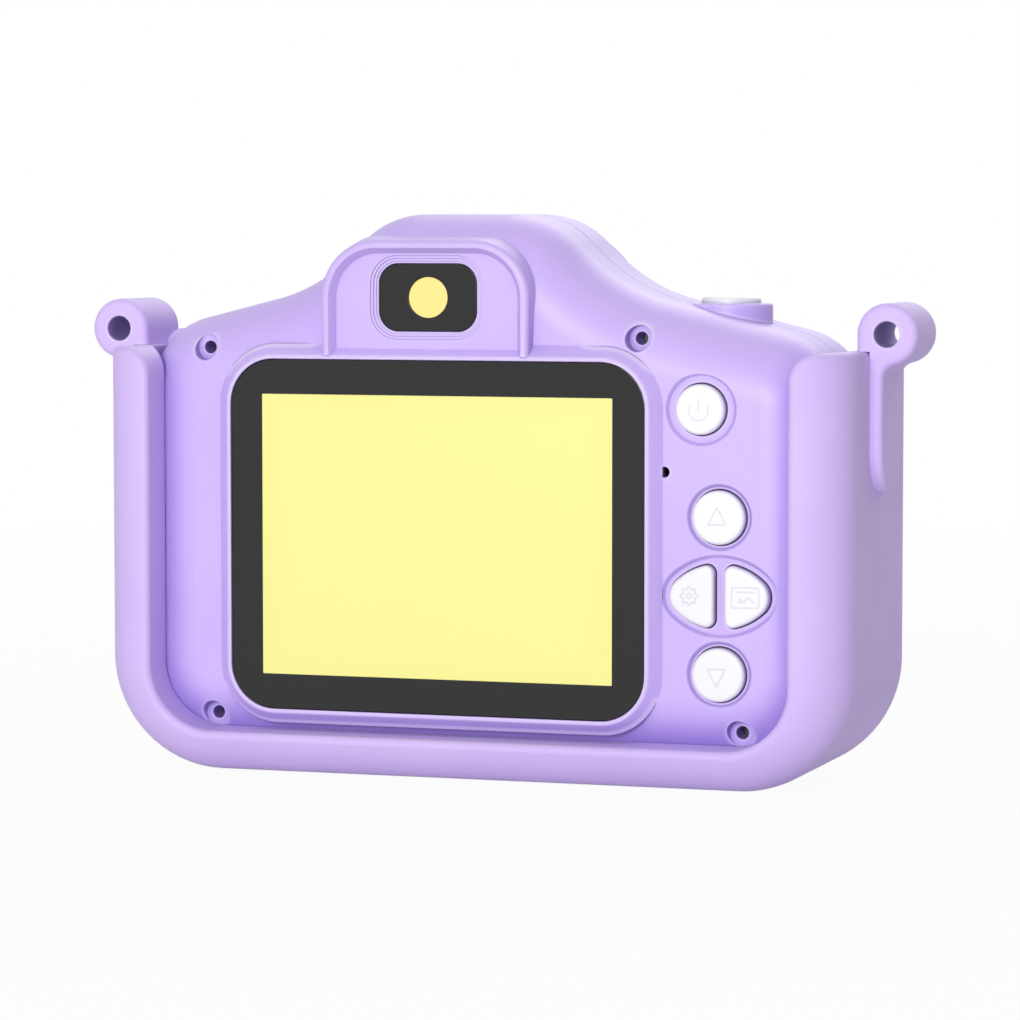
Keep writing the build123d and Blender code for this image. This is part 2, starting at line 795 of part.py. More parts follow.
lcd_back_y = inner_back_y + inner_gap + lcd_thickness
with BuildPart() as lcd_module:
    extrude(rounded_panel(facing_back(lcd_back_y), screen_x, screen_z, lcd_width, lcd_height,
                          lcd_corner_radius), amount=lcd_thickness)
finish(lcd_module.part, "lcd_module")

with BuildPart() as lcd_holder:
    extrude(rounded_panel(facing_back(board_back_y), screen_x, screen_z, lcd_width, lcd_height,
                          lcd_corner_radius), amount=board_back_y - lcd_back_y)
    extrude(rounded_panel(facing_back(board_back_y), screen_x, screen_z, lcd_width - 2 * holder_width,
                          lcd_height - 2 * holder_width, lcd_corner_radius),
            amount=board_back_y - lcd_back_y, mode=Mode.SUBTRACT)
finish(lcd_holder.part, "lcd_holder")

# ---- Eyepiece window and rear camera ----------------------------------------------------------

with BuildPart() as eyepiece_window:
    extrude(rounded_panel(facing_back(eye_seat_y), eyepiece_x, eye_window_z, eye_window_width,
                          eye_window_height, eye_window_radius), amount=eye_window_thickness)
    extrude(disc(facing_back(eye_seat_y), eyepiece_x, eye_window_z, rear_lens_diameter + lens_gap),
            amount=eye_window_thickness, mode=Mode.SUBTRACT)
finish(eyepiece_window.part, "eyepiece_window")

with BuildPart() as rear_lens:
    extrude(disc(facing_back(eye_seat_y), eyepiece_x, eye_window_z, rear_lens_diameter),
            amount=eye_window_thickness)
finish(rear_lens.part, "rear_lens")

with BuildPart() as rear_camera_module:
    extrude(rounded_panel(facing_back(eye_seat_y + rear_module_depth), eyepiece_x, eye_window_z,
                          rear_module_width, rear_module_height, module_corner_radius),
            amount=rear_module_depth)
finish(rear_camera_module.part, "rear_camera_module")

# ---- Back buttons -----------------------------------------------------------------------------

button_shapes = {
    "power_button": lambda plane, margin: disc(plane, power_x, power_z, power_diameter + 2 * margin),
    "up_button": lambda plane, margin: disc(plane, arrow_x, up_z, arrow_diameter + 2 * margin),
    "down_button": lambda plane, margin: disc(plane, arrow_x, down_z, arrow_diameter + 2 * margin),
    "settings_button": lambda plane, margin: half_oval(plane, -1, margin),
    "gallery_button": lambda plane, margin: half_oval(plane, 1, margin),
}
switch_places = {
    "power_button": (power_x, power_z),
    "up_button": (arrow_x, up_z),
    "down_button": (arrow_x, down_z),
    "settings_button": (pair_x - pair_half_length / 2, pair_z),
    "gallery_button": (pair_x + pair_half_length / 2, pair_z),
}
for name, shape in button_shapes.items():
    with BuildPart() as button:
        extrude(shape(facing_back(flange_y), 0), amount=flange_y - cap_face_y)
        fillet(button.faces().sort_by(Axis.Y)[0].edges(), radius=cap_edge_radius)
        extrude(shape(facing_back(flange_y + flange_thickness), flange_margin), amount=flange_thickness)
        extrude(disc(facing_back(stem_end_y), *switch_places[name], 2 * stem_radius),
                amount=stem_end_y - flange_y)
    finish(button.part, name)

# ---- Main board and what it carries -----------------------------------------------------------

with BuildPart() as main_board:
    with BuildSketch(facing_back(board_front_y)):
        with Locations(((board_left_x + board_right_x) / 2, (board_bottom_z + board_top_z) / 2)):
            RectangleRounded(board_right_x - board_left_x, board_top_z - board_bottom_z,
                             board_corner_radius)
    extrude(amount=board_thickness)
    extrude(discs(facing_back(board_front_y), board_screw_places, board_hole_diameter),
            amount=board_thickness, mode=Mode.SUBTRACT)
finish(main_board.part, "main_board")

with BuildPart() as board_screws:
    extrude(discs(facing_back(board_front_y + board_screw_head_height), board_screw_places,
                  board_screw_head_diameter), amount=board_screw_head_height)
    extrude(discs(facing_back(board_front_y), board_screw_places, board_screw_diameter),
            amount=board_screw_length)
finish(board_screws.part, "board_screws")

with BuildPart() as tact_switches:
    with BuildSketch(facing_back(board_back_y)):
        with Locations(*switch_places.values()):
            Rectangle(switch_width, switch_width)
    extrude(amount=switch_height)
    extrude(discs(facing_back(board_back_y), switch_places.values(), plunger_diameter),
            amount=switch_height + plunger_height)
finish(tact_switches.part, "tact_switches")

with BuildPart() as microphone:
    extrude(disc(facing_back(board_back_y), pinhole_x, pinhole_z, microphone_diameter),
            amount=microphone_height)
finish(microphone.part, "microphone")

port_mouth_z = body_base_z + port_recess
with BuildPart() as usb_port:
    usb_mouth = Plane.XY.offset(port_mouth_z)
    extrude(port_profile(usb_mouth, usb_x, usb_width, usb_depth, 0), amount=usb_length)
    extrude(port_profile(usb_mouth, usb_x, usb_width, usb_depth, -usb_wall),
            amount=usb_length - usb_wall, mode=Mode.SUBTRACT)
    with BuildSketch(usb_mouth.offset(usb_wall)):
        with Locations((usb_x, board_front_y + usb_depth / 2)):
            Rectangle(usb_tongue_width, usb_tongue_thickness)
    extrude(amount=usb_length - usb_wall)
finish(usb_port.part, "usb_port")

with BuildPart() as card_socket:
    card_mouth = Plane.XY.offset(port_mouth_z)
    extrude(port_profile(card_mouth, card_x, card_width, card_depth, 0), amount=card_length)
    extrude(port_profile(card_mouth, card_x, card_width, card_depth, -card_wall),
            amount=card_length - card_wall, mode=Mode.SUBTRACT)
finish(card_socket.part, "card_socket")

# ---- Battery and speaker ----------------------------------------------------------------------

with BuildPart() as battery:
    extrude(rounded_panel(facing_back(inner_front_y - inner_gap), battery_x, battery_z, battery_width,
                          battery_height, battery_edge_radius), amount=battery_thickness)
finish(battery.part, "battery")

with BuildPart() as speaker:
    extrude(disc(facing_back(inner_front_y - inner_gap), speaker_x, speaker_z, speaker_diameter),
            amount=speaker_thickness)
finish(speaker.part, "speaker")

# ---- Shutter ----------------------------------------------------------------------------------

shutter_axis = Location((shutter_x, shutter_y))
shutter_bore = shutter_cap_diameter + 2 * shutter_gap
with BuildPart() as shutter_collar:
    with BuildSketch(Plane.XY.offset(collar_top_z)):
        with Locations(shutter_axis):
            Circle(collar_diameter / 2)
    extrude(amount=collar_bottom_z - collar_top_z)
    fillet(shutter_collar.edges().group_by(Axis.Z)[-1], radius=collar_edge_radius)
    add(outer_form, mode=Mode.SUBTRACT)
    with BuildSketch(Plane.XY.offset(collar_bottom_z)):
        with Locations(shutter_axis):
            Circle(collar_spigot_diameter / 2)
    extrude(amount=collar_top_z - collar_bottom_z - collar_edge_radius)
    with BuildSketch(Plane.XY.offset(collar_bottom_z)):
        with Locations(shutter_axis):
            Circle(shutter_bore / 2)
    extrude(amount=collar_top_z - collar_bottom_z, mode=Mode.SUBTRACT)
finish(shutter_collar.part, "shutter_collar")

shutter_flange_z = collar_bottom_z - flange_clearance
shutter_plunger_z = shutter_flange_z - flange_thickness - shutter_travel - stem_reach
shutter_board_z = shutter_plunger_z - plunger_height - switch_height
with BuildPart() as shutter_button:
    with BuildSketch(Plane.XY.offset(shutter_flange_z)):
        with Locations(shutter_axis):
            Circle(shutter_cap_diameter / 2)
    extrude(amount=collar_top_z + shutter_cap_rise - shutter_flange_z)
    fillet(shutter_button.edges().group_by(Axis.Z)[-1], radius=cap_edge_radius)
    with BuildSketch(Plane.XY.offset(shutter_flange_z)):
        with Locations(shutter_axis):
            Circle(shutter_flange_diameter / 2)
    extrude(amount=-flange_thickness)
    with BuildSketch(Plane.XY.offset(shutter_flange_z)):
        with Locations(shutter_axis):
            Circle(stem_radius)
    extrude(amount=shutter_plunger_z + shutter_travel + cap_gap - shutter_flange_z)
finish(shutter_button.part, "shutter_button")

with BuildPart() as shutter_board:
    with BuildSketch(Plane.XY.offset(shutter_board_z)):
        with Locations((shutter_x, board_front_y + shutter_board_depth / 2)):
            Rectangle(shutter_board_width, shutter_board_depth)
    extrude(amount=-shutter_board_thickness)
finish(shutter_board.part, "shutter_board")

with BuildPart() as shutter_switch:
    with BuildSketch(Plane.XY.offset(shutter_board_z)):
        with Locations(shutter_axis):
            Rectangle(switch_width, switch_width)
    extrude(amount=switch_height)
    with BuildSketch(Plane.XY.offset(shutter_board_z)):
        with Locations(shutter_axis):
            Circle(plunger_diameter / 2)
    extrude(amount=switch_height + plunger_height)
finish(shutter_switch.part, "shutter_switch")

# ---- Main lens on the front -------------------------------------------------------------------

lens_axis = Plane(origin=(hump_x, 0, lens_z), x_dir=(1, 0, 0), z_dir=(0, 0, 1))
glass_front_y = barrel_front_y - lens_gap
glass_seat_y = glass_front_y - glass_thickness
with BuildPart() as lens_barrel:
    with BuildSketch(lens_axis):
        with BuildLine():
            Polyline(
                (camera_snout_diameter / 2 + lens_gap, barrel_neck_back_y),
                (barrel_neck_diameter / 2, barrel_neck_back_y),
                (barrel_neck_diameter / 2, lens_seat_y),
                (barrel_diameter / 2, lens_seat_y),
                (barrel_diameter / 2, barrel_front_y),
                (glass_diameter / 2 + lens_gap, barrel_front_y),
                (glass_diameter / 2 + lens_gap, glass_seat_y),
                (glass_diameter / 2 - glass_seat_width, glass_seat_y),
                (cone_back_diameter / 2, cone_back_y),
                (camera_snout_diameter / 2 + lens_gap, cone_back_y),
                close=True,
            )
        make_face()
    revolve(axis=Axis((hump_x, 0, lens_z), (0, 1, 0)))
    fillet(lens_barrel.edges().filter_by(GeomType.CIRCLE).filter_by(
        lambda rim: abs(rim.radius - barrel_diameter / 2) < lens_gap).sort_by(Axis.Y)[-1],
        radius=barrel_edge_radius)
finish(lens_barrel.part, "lens_barrel")

with BuildPart() as lens_trim_ring:
    extrude(disc(facing_back(trim_front_y), hump_x, lens_z, trim_diameter),
            amount=trim_front_y - barrel_front_y)
    fillet(lens_trim_ring.faces().sort_by(Axis.Y)[-1].edges(), radius=trim_edge_radius)
    extrude(disc(facing_back(trim_front_y), hump_x, lens_z, trim_inner_diameter),
            amount=trim_front_y - barrel_front_y, mode=Mode.SUBTRACT)
finish(lens_trim_ring.part, "lens_trim_ring")

with BuildPart() as front_lens_glass:
    extrude(disc(facing_back(glass_front_y), hump_x, lens_z, glass_diameter), amount=glass_thickness)
finish(front_lens_glass.part, "front_lens_glass")

with BuildPart() as front_camera_module:
    extrude(rounded_panel(facing_back(barrel_neck_back_y), hump_x, lens_z, camera_block_width,
                          camera_block_width, module_corner_radius), amount=camera_block_depth)
    extrude(disc(facing_back(barrel_neck_back_y + camera_snout_length), hump_x, lens_z,
                 camera_snout_diameter), amount=camera_snout_length)
finish(front_camera_module.part, "front_camera_module")

# ---- Flash ------------------------------------------------------------------------------------

with BuildPart() as flash_lens:
    extrude(disc(facing_back(front_face_y + front_arch_rise), hump_x, flash_z, flash_diameter),
            amount=flash_thickness)
finish(flash_lens.part, "flash_lens")

with BuildPart() as flash_led:
    extrude(rounded_panel(facing_back(flash_seat_y), hump_x, flash_z, flash_led_width,
                          flash_led_width, lens_gap), amount=flash_led_height)
finish(flash_led.part, "flash_led")

# ---- Housing screws, driven from the lens side ------------------------------------------------

with BuildPart() as housing_screws:
    extrude(discs(facing_back(screw_seat_y + screw_head_height), screw_places, screw_head_diameter),
            amount=screw_head_height)
    extrude(discs(facing_back(screw_seat_y), screw_places, screw_shank_diameter),
            amount=screw_seat_y - screw_tip_y)
finish(housing_screws.part, "housing_screws")
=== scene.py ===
"""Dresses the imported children's camera: plastics, sleeve, screen, lenses, symbols, light, view."""

import logging
import math
from dataclasses import dataclass, field
from enum import Enum
from typing import Protocol, TypeAlias

import bpy
import numpy as np
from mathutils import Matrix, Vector


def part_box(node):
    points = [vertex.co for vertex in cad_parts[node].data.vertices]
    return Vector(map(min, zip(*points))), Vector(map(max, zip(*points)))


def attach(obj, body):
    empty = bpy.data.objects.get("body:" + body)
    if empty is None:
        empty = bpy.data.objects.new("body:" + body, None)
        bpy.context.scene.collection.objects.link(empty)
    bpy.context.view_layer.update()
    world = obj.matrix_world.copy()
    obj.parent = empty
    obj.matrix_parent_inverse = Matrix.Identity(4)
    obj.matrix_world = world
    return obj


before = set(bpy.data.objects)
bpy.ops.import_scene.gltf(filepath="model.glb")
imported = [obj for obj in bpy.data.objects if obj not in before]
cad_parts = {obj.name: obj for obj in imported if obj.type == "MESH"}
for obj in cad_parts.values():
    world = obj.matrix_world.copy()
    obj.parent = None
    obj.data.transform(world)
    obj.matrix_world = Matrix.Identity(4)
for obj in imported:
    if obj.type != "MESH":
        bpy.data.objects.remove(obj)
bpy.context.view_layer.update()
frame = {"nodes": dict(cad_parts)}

LOG = logging.getLogger("camera")
MM = 0.001
TURN = 2.0 * math.pi
WALL_SAMPLES = 6
EDGE_SAMPLES = 4

Colour: TypeAlias = tuple[float, float, float]
Span: TypeAlias = tuple[float, float]
Value: TypeAlias = "Socket | float | int | Colour"
WHITE: Colour = (1.0, 1.0, 1.0)
# Spans for the painted shade in hollows and the painted highlight at outer edge lines.
PAINTED_SHADE_SPAN: Span = (0.15, 0.98)
EDGE_HIGHLIGHT_SPAN: Span = (0.55, 0.9)


def linear(code: str) -> Colour:
    """Turns a screen colour into the linear one that shaders take: p / 12.92 near black, and
    ((p + 0.055) / 1.055) ^ 2.4 above it.

    Args:
        code: Six hexadecimal digits, two each for red, green and blue.

    Returns:
        The three linear parts, each from 0 to 1.
    """
    parts = [int(code[start:start + 2], 16) / 255.0 for start in (0, 2, 4)]
    red, green, blue = (p / 12.92 if p <= 0.04045 else ((p + 0.055) / 1.055) ** 2.4 for p in parts)
    return red, green, blue


class Slot(Enum):
    """The record's material slots; no piece made here is put in one."""

    CAPS = "caps"
    DISPLAY = "display"
    BLACK = "black_plastic"


# ---- Shader maths -------------------------------------------------------------------------------


class Socket:
    """One output of a shader node, which takes part in Python arithmetic."""

    def __init__(self, graph: "Graph", link: bpy.types.NodeSocket) -> None:
        """Keeps the graph that the output belongs to, and the output."""
        self.graph = graph
        self.link = link

    def __add__(self, other: Value) -> "Socket":
        """Gives self + other."""
        return self.graph.math("ADD", self, other)

    def __sub__(self, other: Value) -> "Socket":
        """Gives self - other."""
        return self.graph.math("SUBTRACT", self, other)

    def __rsub__(self, other: Value) -> "Socket":
        """Gives other - self."""
        return self.graph.math("SUBTRACT", other, self)

    def __mul__(self, other: Value) -> "Socket":
        """Gives self * other."""
        return self.graph.math("MULTIPLY", self, other)

    def __truediv__(self, other: Value) -> "Socket":
        """Gives self / other."""
        return self.graph.math("DIVIDE", self, other)

    def __pow__(self, other: Value) -> "Socket":
        """Gives self to the power of other."""
        return self.graph.math("POWER", self, other)


class Graph:
    """A node tree that is written as expressions."""

    def __init__(self, tree: bpy.types.NodeTree) -> None:
        """Empties the tree.

        Args:
            tree: The node tree of a material or a world.
        """
        self.tree = tree
        tree.nodes.clear()

    def node(self, kind: str, settings: dict | None = None, sockets: dict | None = None,
             output: str | int = 0) -> Socket:
        """Adds a node.

        Args:
            kind: The node's type name.
            settings: What is set on the node itself first.
            sockets: Values or links for its inputs, by name or number.
            output: The output that is wanted, by name or number.

        Returns:
            That output, or the first input of a node without outputs.
        """
        made = self.tree.nodes.new(kind)
        for name, value in (settings or {}).items():
            setattr(made, name, value)
        for name, value in (sockets or {}).items():
            self.feed(made.inputs[name], value)
        ends = made.outputs if len(made.outputs) else made.inputs
        return Socket(self, ends[output])

    def feed(self, entry: bpy.types.NodeSocket, value: Value) -> None:
        """Links or sets one input.

        Args:
            entry: The input.
            value: A Socket to link, or a number or colour to set.
        """
        if isinstance(value, Socket):
            self.tree.links.new(value.link, entry)
        elif isinstance(value, tuple) and entry.type == "RGBA":
            entry.default_value = (*value, 1.0)
        else:
            entry.default_value = value

    def math(self, operation: str, *values: Value) -> Socket:
        """Adds a Math node.

        Args:
            operation: The node's operation.
            values: Its inputs in order.

        Returns:
            The result.
        """
        settings = {"operation": operation}
        return self.node("ShaderNodeMath", settings, dict(enumerate(values)))

    def vector(self, operation: str, *values: Value, output: str | int = 0) -> Socket:
        """Adds a Vector Math node.

        Args:
            operation: The node's operation.
            values: Its inputs in order.
            output: The output that is wanted.

        Returns:
            The result.
        """
        settings = {"operation": operation}
        return self.node("ShaderNodeVectorMath", settings, dict(enumerate(values)), output)

    def blend(self, amount: Value, low: Value, high: Value) -> Socket:
        """Mixes two colours.

        Args:
            amount: 0 gives the first colour, and 1 the second.
            low: The first colour.
            high: The second colour.

        Returns:
            The mixed colour.
        """
        settings = {"data_type": "RGBA", "clamp_factor": True}
        return self.node("ShaderNodeMix", settings, {0: amount, 6: low, 7: high}, 2)

    def between(self, value: Value, span: Span) -> Socket:
        """Gives a smooth step from 0 where the span starts to 1 where it ends.

        Args:
            value: What is tested.
            span: Where the step starts and ends.

        Returns:
            The step.
        """
        settings = {"interpolation_type": "SMOOTHSTEP"}
        return self.node("ShaderNodeMapRange", settings, {0: value, 1: span[0], 2: span[1]})

    def bump(self, height: Socket, depth: float, strength: float,
             normal: Socket | None = None) -> Socket:
        """Gives a normal that is tilted by a relief.

        Args:
            height: The relief, as a share of its depth.
            depth: The relief's depth, in metres.
            strength: How much of it shows.
            normal: The normal that it starts from, if not the surface's own.

        Returns:
            The normal.
        """
        sockets = {"Strength": strength, "Distance": depth, "Height": height}
        if normal:
            sockets["Normal"] = normal
        return self.node("ShaderNodeBump", sockets=sockets)

    def place(self) -> Socket:
        """Gives the point on the object, in metres."""
        return self.node("ShaderNodeTexCoord", output="Object")

    def parts(self, vector: Socket) -> tuple[Socket, Socket, Socket]:
        """Splits a vector.

        Args:
            vector: The vector.

        Returns:
            Its X, Y and Z.
        """
        split = self.node("ShaderNodeSeparateXYZ", sockets={0: vector}).link.node
        across, along, up = (Socket(self, split.outputs[index]) for index in range(3))
        return across, along, up

    def grain(self, size: float, detail: float = 2.0,
              stretch: tuple[float, float, float] = (1.0, 1.0, 1.0)) -> Socket:
        """Gives noise with lumps of a given size.

        Args:
            size: About the width of a lump, in metres.
            detail: How many finer layers lie on it.
            stretch: How much the point is scaled along each axis first.

        Returns:
            A value of about 0.3 to 0.7.
        """
        point = self.vector("MULTIPLY", self.place(), stretch)
        sockets = {"Vector": point, "Scale": 1.0 / size, "Detail": detail}
        return self.node("ShaderNodeTexNoise", sockets=sockets)


class Finish(Protocol):
    """Anything that can make a material."""

    def material(self, name: str) -> bpy.types.Material:
        """Makes the material and returns it."""
        ...


def new_surface(name: str) -> tuple[bpy.types.Material, Graph]:
    """Starts a material.

    Args:
        name: The material's name.

    Returns:
        The material and its empty graph.
    """
    made = bpy.data.materials.new(name)
    made.use_nodes = True
    return made, Graph(made.node_tree)


def principled(graph: Graph, sockets: dict) -> None:
    """Ends a material in a Principled shader.

    Args:
        graph: The material's graph.
        sockets: Values and links for the shader's inputs.
    """
    shader = graph.node("ShaderNodeBsdfPrincipled", sockets=sockets)
    graph.node("ShaderNodeOutputMaterial", {"target": "ALL"}, {"Surface": shader})


def walls_near(graph: Graph, reach: float, span: Span, settings: dict) -> Socket:
    """Gives how much of the space over or behind the surface is closed in by walls.

    Args:
        graph: The material's graph.
        reach: How far away a wall still counts, in metres.
        span: How open the surface is where the result is 1, and where it is 0.
        settings: Which walls count, and on which side.

    Returns:
        The share, from 0 to 1.
    """
    settings = {"samples": WALL_SAMPLES, **settings}
    opened = graph.node("ShaderNodeAmbientOcclusion", settings, {"Distance": reach}, "AO")
    return 1.0 - graph.between(opened, span)


def painted_shade_mask(graph: Graph, reach: float, alone: bool) -> Socket:
    """Gives where painted shade falls: how far the surface lies in a corner or a gap, from 0 in the
    open to 1 deep inside.

    Args:
        graph: The material's graph.
        reach: How far away a wall still counts, in metres.
        alone: Whether only the piece's own walls count.

    Returns:
        The share.
    """
    return walls_near(graph, reach, PAINTED_SHADE_SPAN, {"only_local": alone})


def edge_highlight_mask(graph: Graph, reach: float) -> Socket:
    """Gives how near the surface lies to an outer edge, where a painted highlight lightens the
    colour.

    Args:
        graph: The material's graph.
        reach: How far behind the surface another face still counts, in metres.

    Returns:
        The share, from 0 to 1.
    """
    return walls_near(graph, reach, EDGE_HIGHLIGHT_SPAN, {"inside": True, "only_local": True})


def soft_edge(graph: Graph, radius: float) -> Socket:
    """Gives a normal that runs smoothly round every edge, as a mould's small radii do.

    Args:
        graph: The material's graph.
        radius: The radius that edges seem to have, in metres.

    Returns:
        The normal.
    """
    return graph.node("ShaderNodeBevel", {"samples": EDGE_SAMPLES}, {"Radius": radius})


# ---- Finishes -----------------------------------------------------------------------------------


@dataclass(frozen=True)
class MouldedPlastic:
    """Moulded plastic or rubber: a fine sparked grain, faint clouding and small edge radii, and
    where given, painted shade in hollows and a painted highlight at each outer edge.
    """

    colour: Colour
    cloud: Colour
    # This colour and the next three fields paint shade into hollows and corners.
    shade: Colour | None = None
    shade_share: float = 0.8
    shade_reach: float = 5.0 * MM
    shade_alone: bool = False
    # This colour and the next two fields paint a highlight at each outer edge.
    edge_highlight: Colour | None = None
    edge_highlight_share: float = 0.6
    edge_highlight_reach: float = 0.6 * MM
    roughness: float = 0.48
    roughness_swing: float = 0.12
    grain_size: float = 0.22 * MM
    grain_detail: float = 1.0
    grain_middle: float = 0.5
    grain_depth: float = 0.012 * MM
    grain_strength: float = 0.25
    cloud_size: float = 14.0 * MM
    cloud_detail: float = 3.0
    cloud_span: Span = (0.3, 0.7)
    edge: float = 0.18 * MM
    specular: float = 0.5
    sheen: float = 0.0
    sheen_roughness: float = 0.5

    def material(self, name: str) -> bpy.types.Material:
        """Makes the material: slow noise turns the colour, and fine noise the gloss and the bump.
        Painted shade darkens the colour in corners and hollows, and a painted highlight lightens it
        near each outer edge.

        Args:
            name: The material's name.

        Returns:
            The material.
        """
        made, graph = new_surface(name)
        clouds = graph.between(graph.grain(self.cloud_size, self.cloud_detail), self.cloud_span)
        colour = graph.blend(clouds, self.colour, self.cloud)
        # Painted shade in hollows and corners.
        if self.shade:
            painted_gap_shade = painted_shade_mask(graph, self.shade_reach, self.shade_alone)
            colour = graph.blend(painted_gap_shade * self.shade_share, colour, self.shade)
        # Painted highlight at each outer edge.
        if self.edge_highlight:
            painted_highlight = edge_highlight_mask(graph, self.edge_highlight_reach)
            colour = graph.blend(painted_highlight * self.edge_highlight_share, colour, self.edge_highlight)
        pits = graph.grain(self.grain_size, self.grain_detail)
        principled(graph, {
            "Base Color": colour,
            "Roughness": (pits - self.grain_middle) * self.roughness_swing + self.roughness,
            "Normal": graph.bump(pits, self.grain_depth, self.grain_strength,
                                 soft_edge(graph, self.edge)),
            "Specular IOR Level": self.specular,
            "Sheen Weight": self.sheen,
            "Sheen Roughness": self.sheen_roughness})
        return made


@dataclass(frozen=True)
class PrintedPanel:
    """A polished panel with ink behind it: an even gloss, a faint ripple and a few specks."""

    colour: Colour
    speck: Colour
    roughness: float = 0.06
    ripple_size: float = 9.0 * MM
    ripple_depth: float = 0.02 * MM
    ripple_strength: float = 0.1
    speck_size: float = 0.5 * MM
    speck_detail: float = 4.0
    speck_span: Span = (0.74, 0.77)
    speck_roughness: float = 0.4
    edge: float = 0.12 * MM

    def material(self, name: str) -> bpy.types.Material:
        """Makes the material: specks where fine noise is highest, and a slow ripple in the gloss.

        Args:
            name: The material's name.

        Returns:
            The material.
        """
        made, graph = new_surface(name)
        specks = graph.between(graph.grain(self.speck_size, self.speck_detail), self.speck_span)
        ripple = graph.grain(self.ripple_size, 0.0)
        principled(graph, {
            "Base Color": graph.blend(specks, self.colour, self.speck),
            "Roughness": specks * self.speck_roughness + self.roughness,
            "Normal": graph.bump(ripple, self.ripple_depth, self.ripple_strength,
                                 soft_edge(graph, self.edge))})
        return made


@dataclass(frozen=True)
class LitDisplay:
    """The lit picture area: an even colour with a faint grid of cells, and a darker rim."""

    colour: Colour
    paint: Colour
    edge_paint: Colour
    centre: tuple[float, float]
    half_size: tuple[float, float]
    cell: float = 0.17 * MM
    cell_share: float = 0.12
    rim_span: Span = (0.80, 1.02)
    rim_share: float = 0.6
    glow: float = 0.31
    roughness: float = 0.22
    roughness_swing: float = 0.05

    def material(self, name: str) -> bpy.types.Material:
        """Makes the material: the cells are sine waves across and up, and the rim is darker.

        Args:
            name: The material's name.

        Returns:
            The material.
        """
        made, graph = new_surface(name)
        across, _, up = graph.parts(graph.place())
        turns = TURN / self.cell
        cells = graph.math("SINE", across * turns) * graph.math("SINE", up * turns) * 0.5 + 0.5
        side = graph.math("ABSOLUTE", across - self.centre[0]) / self.half_size[0]
        rise = graph.math("ABSOLUTE", up - self.centre[1]) / self.half_size[1]
        rim = graph.between(graph.math("MAXIMUM", side, rise), self.rim_span)
        dimmed = rim * self.rim_share + cells * self.cell_share
        principled(graph, {
            "Base Color": graph.blend(dimmed, self.paint, self.edge_paint),
            "Roughness": cells * self.roughness_swing + self.roughness,
            "Emission Color": self.colour,
            "Emission Strength": self.glow})
        return made


@dataclass(frozen=True)
class Metal:
    """Plated or brushed metal with fine drawn lines and cloudy tarnish."""

    colour: Colour
    tarnish: Colour
    roughness: float = 0.28
    line_size: float = 0.12 * MM
    line_detail: float = 3.0
    line_depth: float = 0.01 * MM
    line_strength: float = 0.3
    line_roughness: float = 0.25
    stretch: tuple[float, float, float] = (1.0, 1.0, 0.06)
    tarnish_size: float = 2.2 * MM
    tarnish_detail: float = 4.0
    tarnish_span: Span = (0.42, 0.68)
    tarnish_roughness: float = 0.12
    edge: float = 0.08 * MM

    def material(self, name: str) -> bpy.types.Material:
        """Makes the material: stretched noise gives the lines, and slow noise the tarnish.

        Args:
            name: The material's name.

        Returns:
            The material.
        """
        made, graph = new_surface(name)
        lines = graph.grain(self.line_size, self.line_detail, self.stretch)
        clouds = graph.grain(self.tarnish_size, self.tarnish_detail)
        marks = graph.between(clouds, self.tarnish_span)
        polish = self.roughness - self.tarnish_roughness
        principled(graph, {
            "Base Color": graph.blend(marks, self.colour, self.tarnish),
            "Metallic": 1.0,
            "Roughness": lines * self.line_roughness + marks * self.tarnish_roughness + polish,
            "Normal": graph.bump(lines, self.line_depth, self.line_strength,
                                 soft_edge(graph, self.edge))})
        return made


@dataclass(frozen=True)
class CircuitBoard:
    """Solder mask over copper: raised tracks in a square pattern, bare pads and a glassy coat."""

    mask: Colour
    track: Colour
    pad: Colour
    pitch: float = 1.27 * MM
    cell_pitches: float = 3.0
    cell_tracks: float = 2.0
    track_span: Span = (0.55, 0.75)
    track_depth: float = 0.03 * MM
    track_strength: float = 0.5
    pad_span: Span = (0.12, 0.17)
    roughness: float = 0.25
    pad_roughness: float = 0.1

    def material(self, name: str) -> bpy.types.Material:
        """Makes the material: tracks where a stepped wave is high, and round pads in the cells.

        Args:
            name: The material's name.

        Returns:
            The material.
        """
        made, graph = new_surface(name)
        point = graph.place()
        cells = graph.node(
            "ShaderNodeTexVoronoi", {"distance": "CHEBYCHEV"},
            {"Vector": point, "Scale": 1.0 / (self.cell_pitches * self.pitch)}, "Distance")
        wave = graph.math("SINE", cells * (TURN * self.cell_tracks))
        tracks = graph.between(wave, self.track_span)
        dots = graph.node("ShaderNodeTexVoronoi", output="Distance",
                          sockets={"Vector": point, "Scale": 1.0 / self.pitch})
        pads = 1.0 - graph.between(dots, self.pad_span)
        coated = graph.blend(tracks, self.mask, self.track)
        principled(graph, {
            "Base Color": graph.blend(pads, coated, self.pad),
            "Metallic": pads,
            "Roughness": pads * self.pad_roughness + self.roughness,
            "Normal": graph.bump(tracks, self.track_depth, self.track_strength)})
        return made


@dataclass(frozen=True)
class Glass:
    """A clear moulded lens: a thin smoky film with a faint smear, which one sees through."""

    tint: Colour
    smeared: Colour
    roughness: float = 0.03
    film: float = 0.16
    smear_size: float = 4.0 * MM
    smear_detail: float = 3.0
    smear_span: Span = (0.45, 0.75)
    smear_film: float = 0.05
    smear_roughness: float = 0.1

    def material(self, name: str) -> bpy.types.Material:
        """Makes the material: slow noise makes the faint smear.

        Args:
            name: The material's name.

        Returns:
            The material.
        """
        made, graph = new_surface(name)
        smear = graph.between(graph.grain(self.smear_size, self.smear_detail), self.smear_span)
        principled(graph, {
            "Base Color": graph.blend(smear, self.tint, self.smeared),
            "Roughness": smear * self.smear_roughness + self.roughness,
            "Alpha": smear * self.smear_film + self.film,
            "Coat Weight": 1.0})
        return made


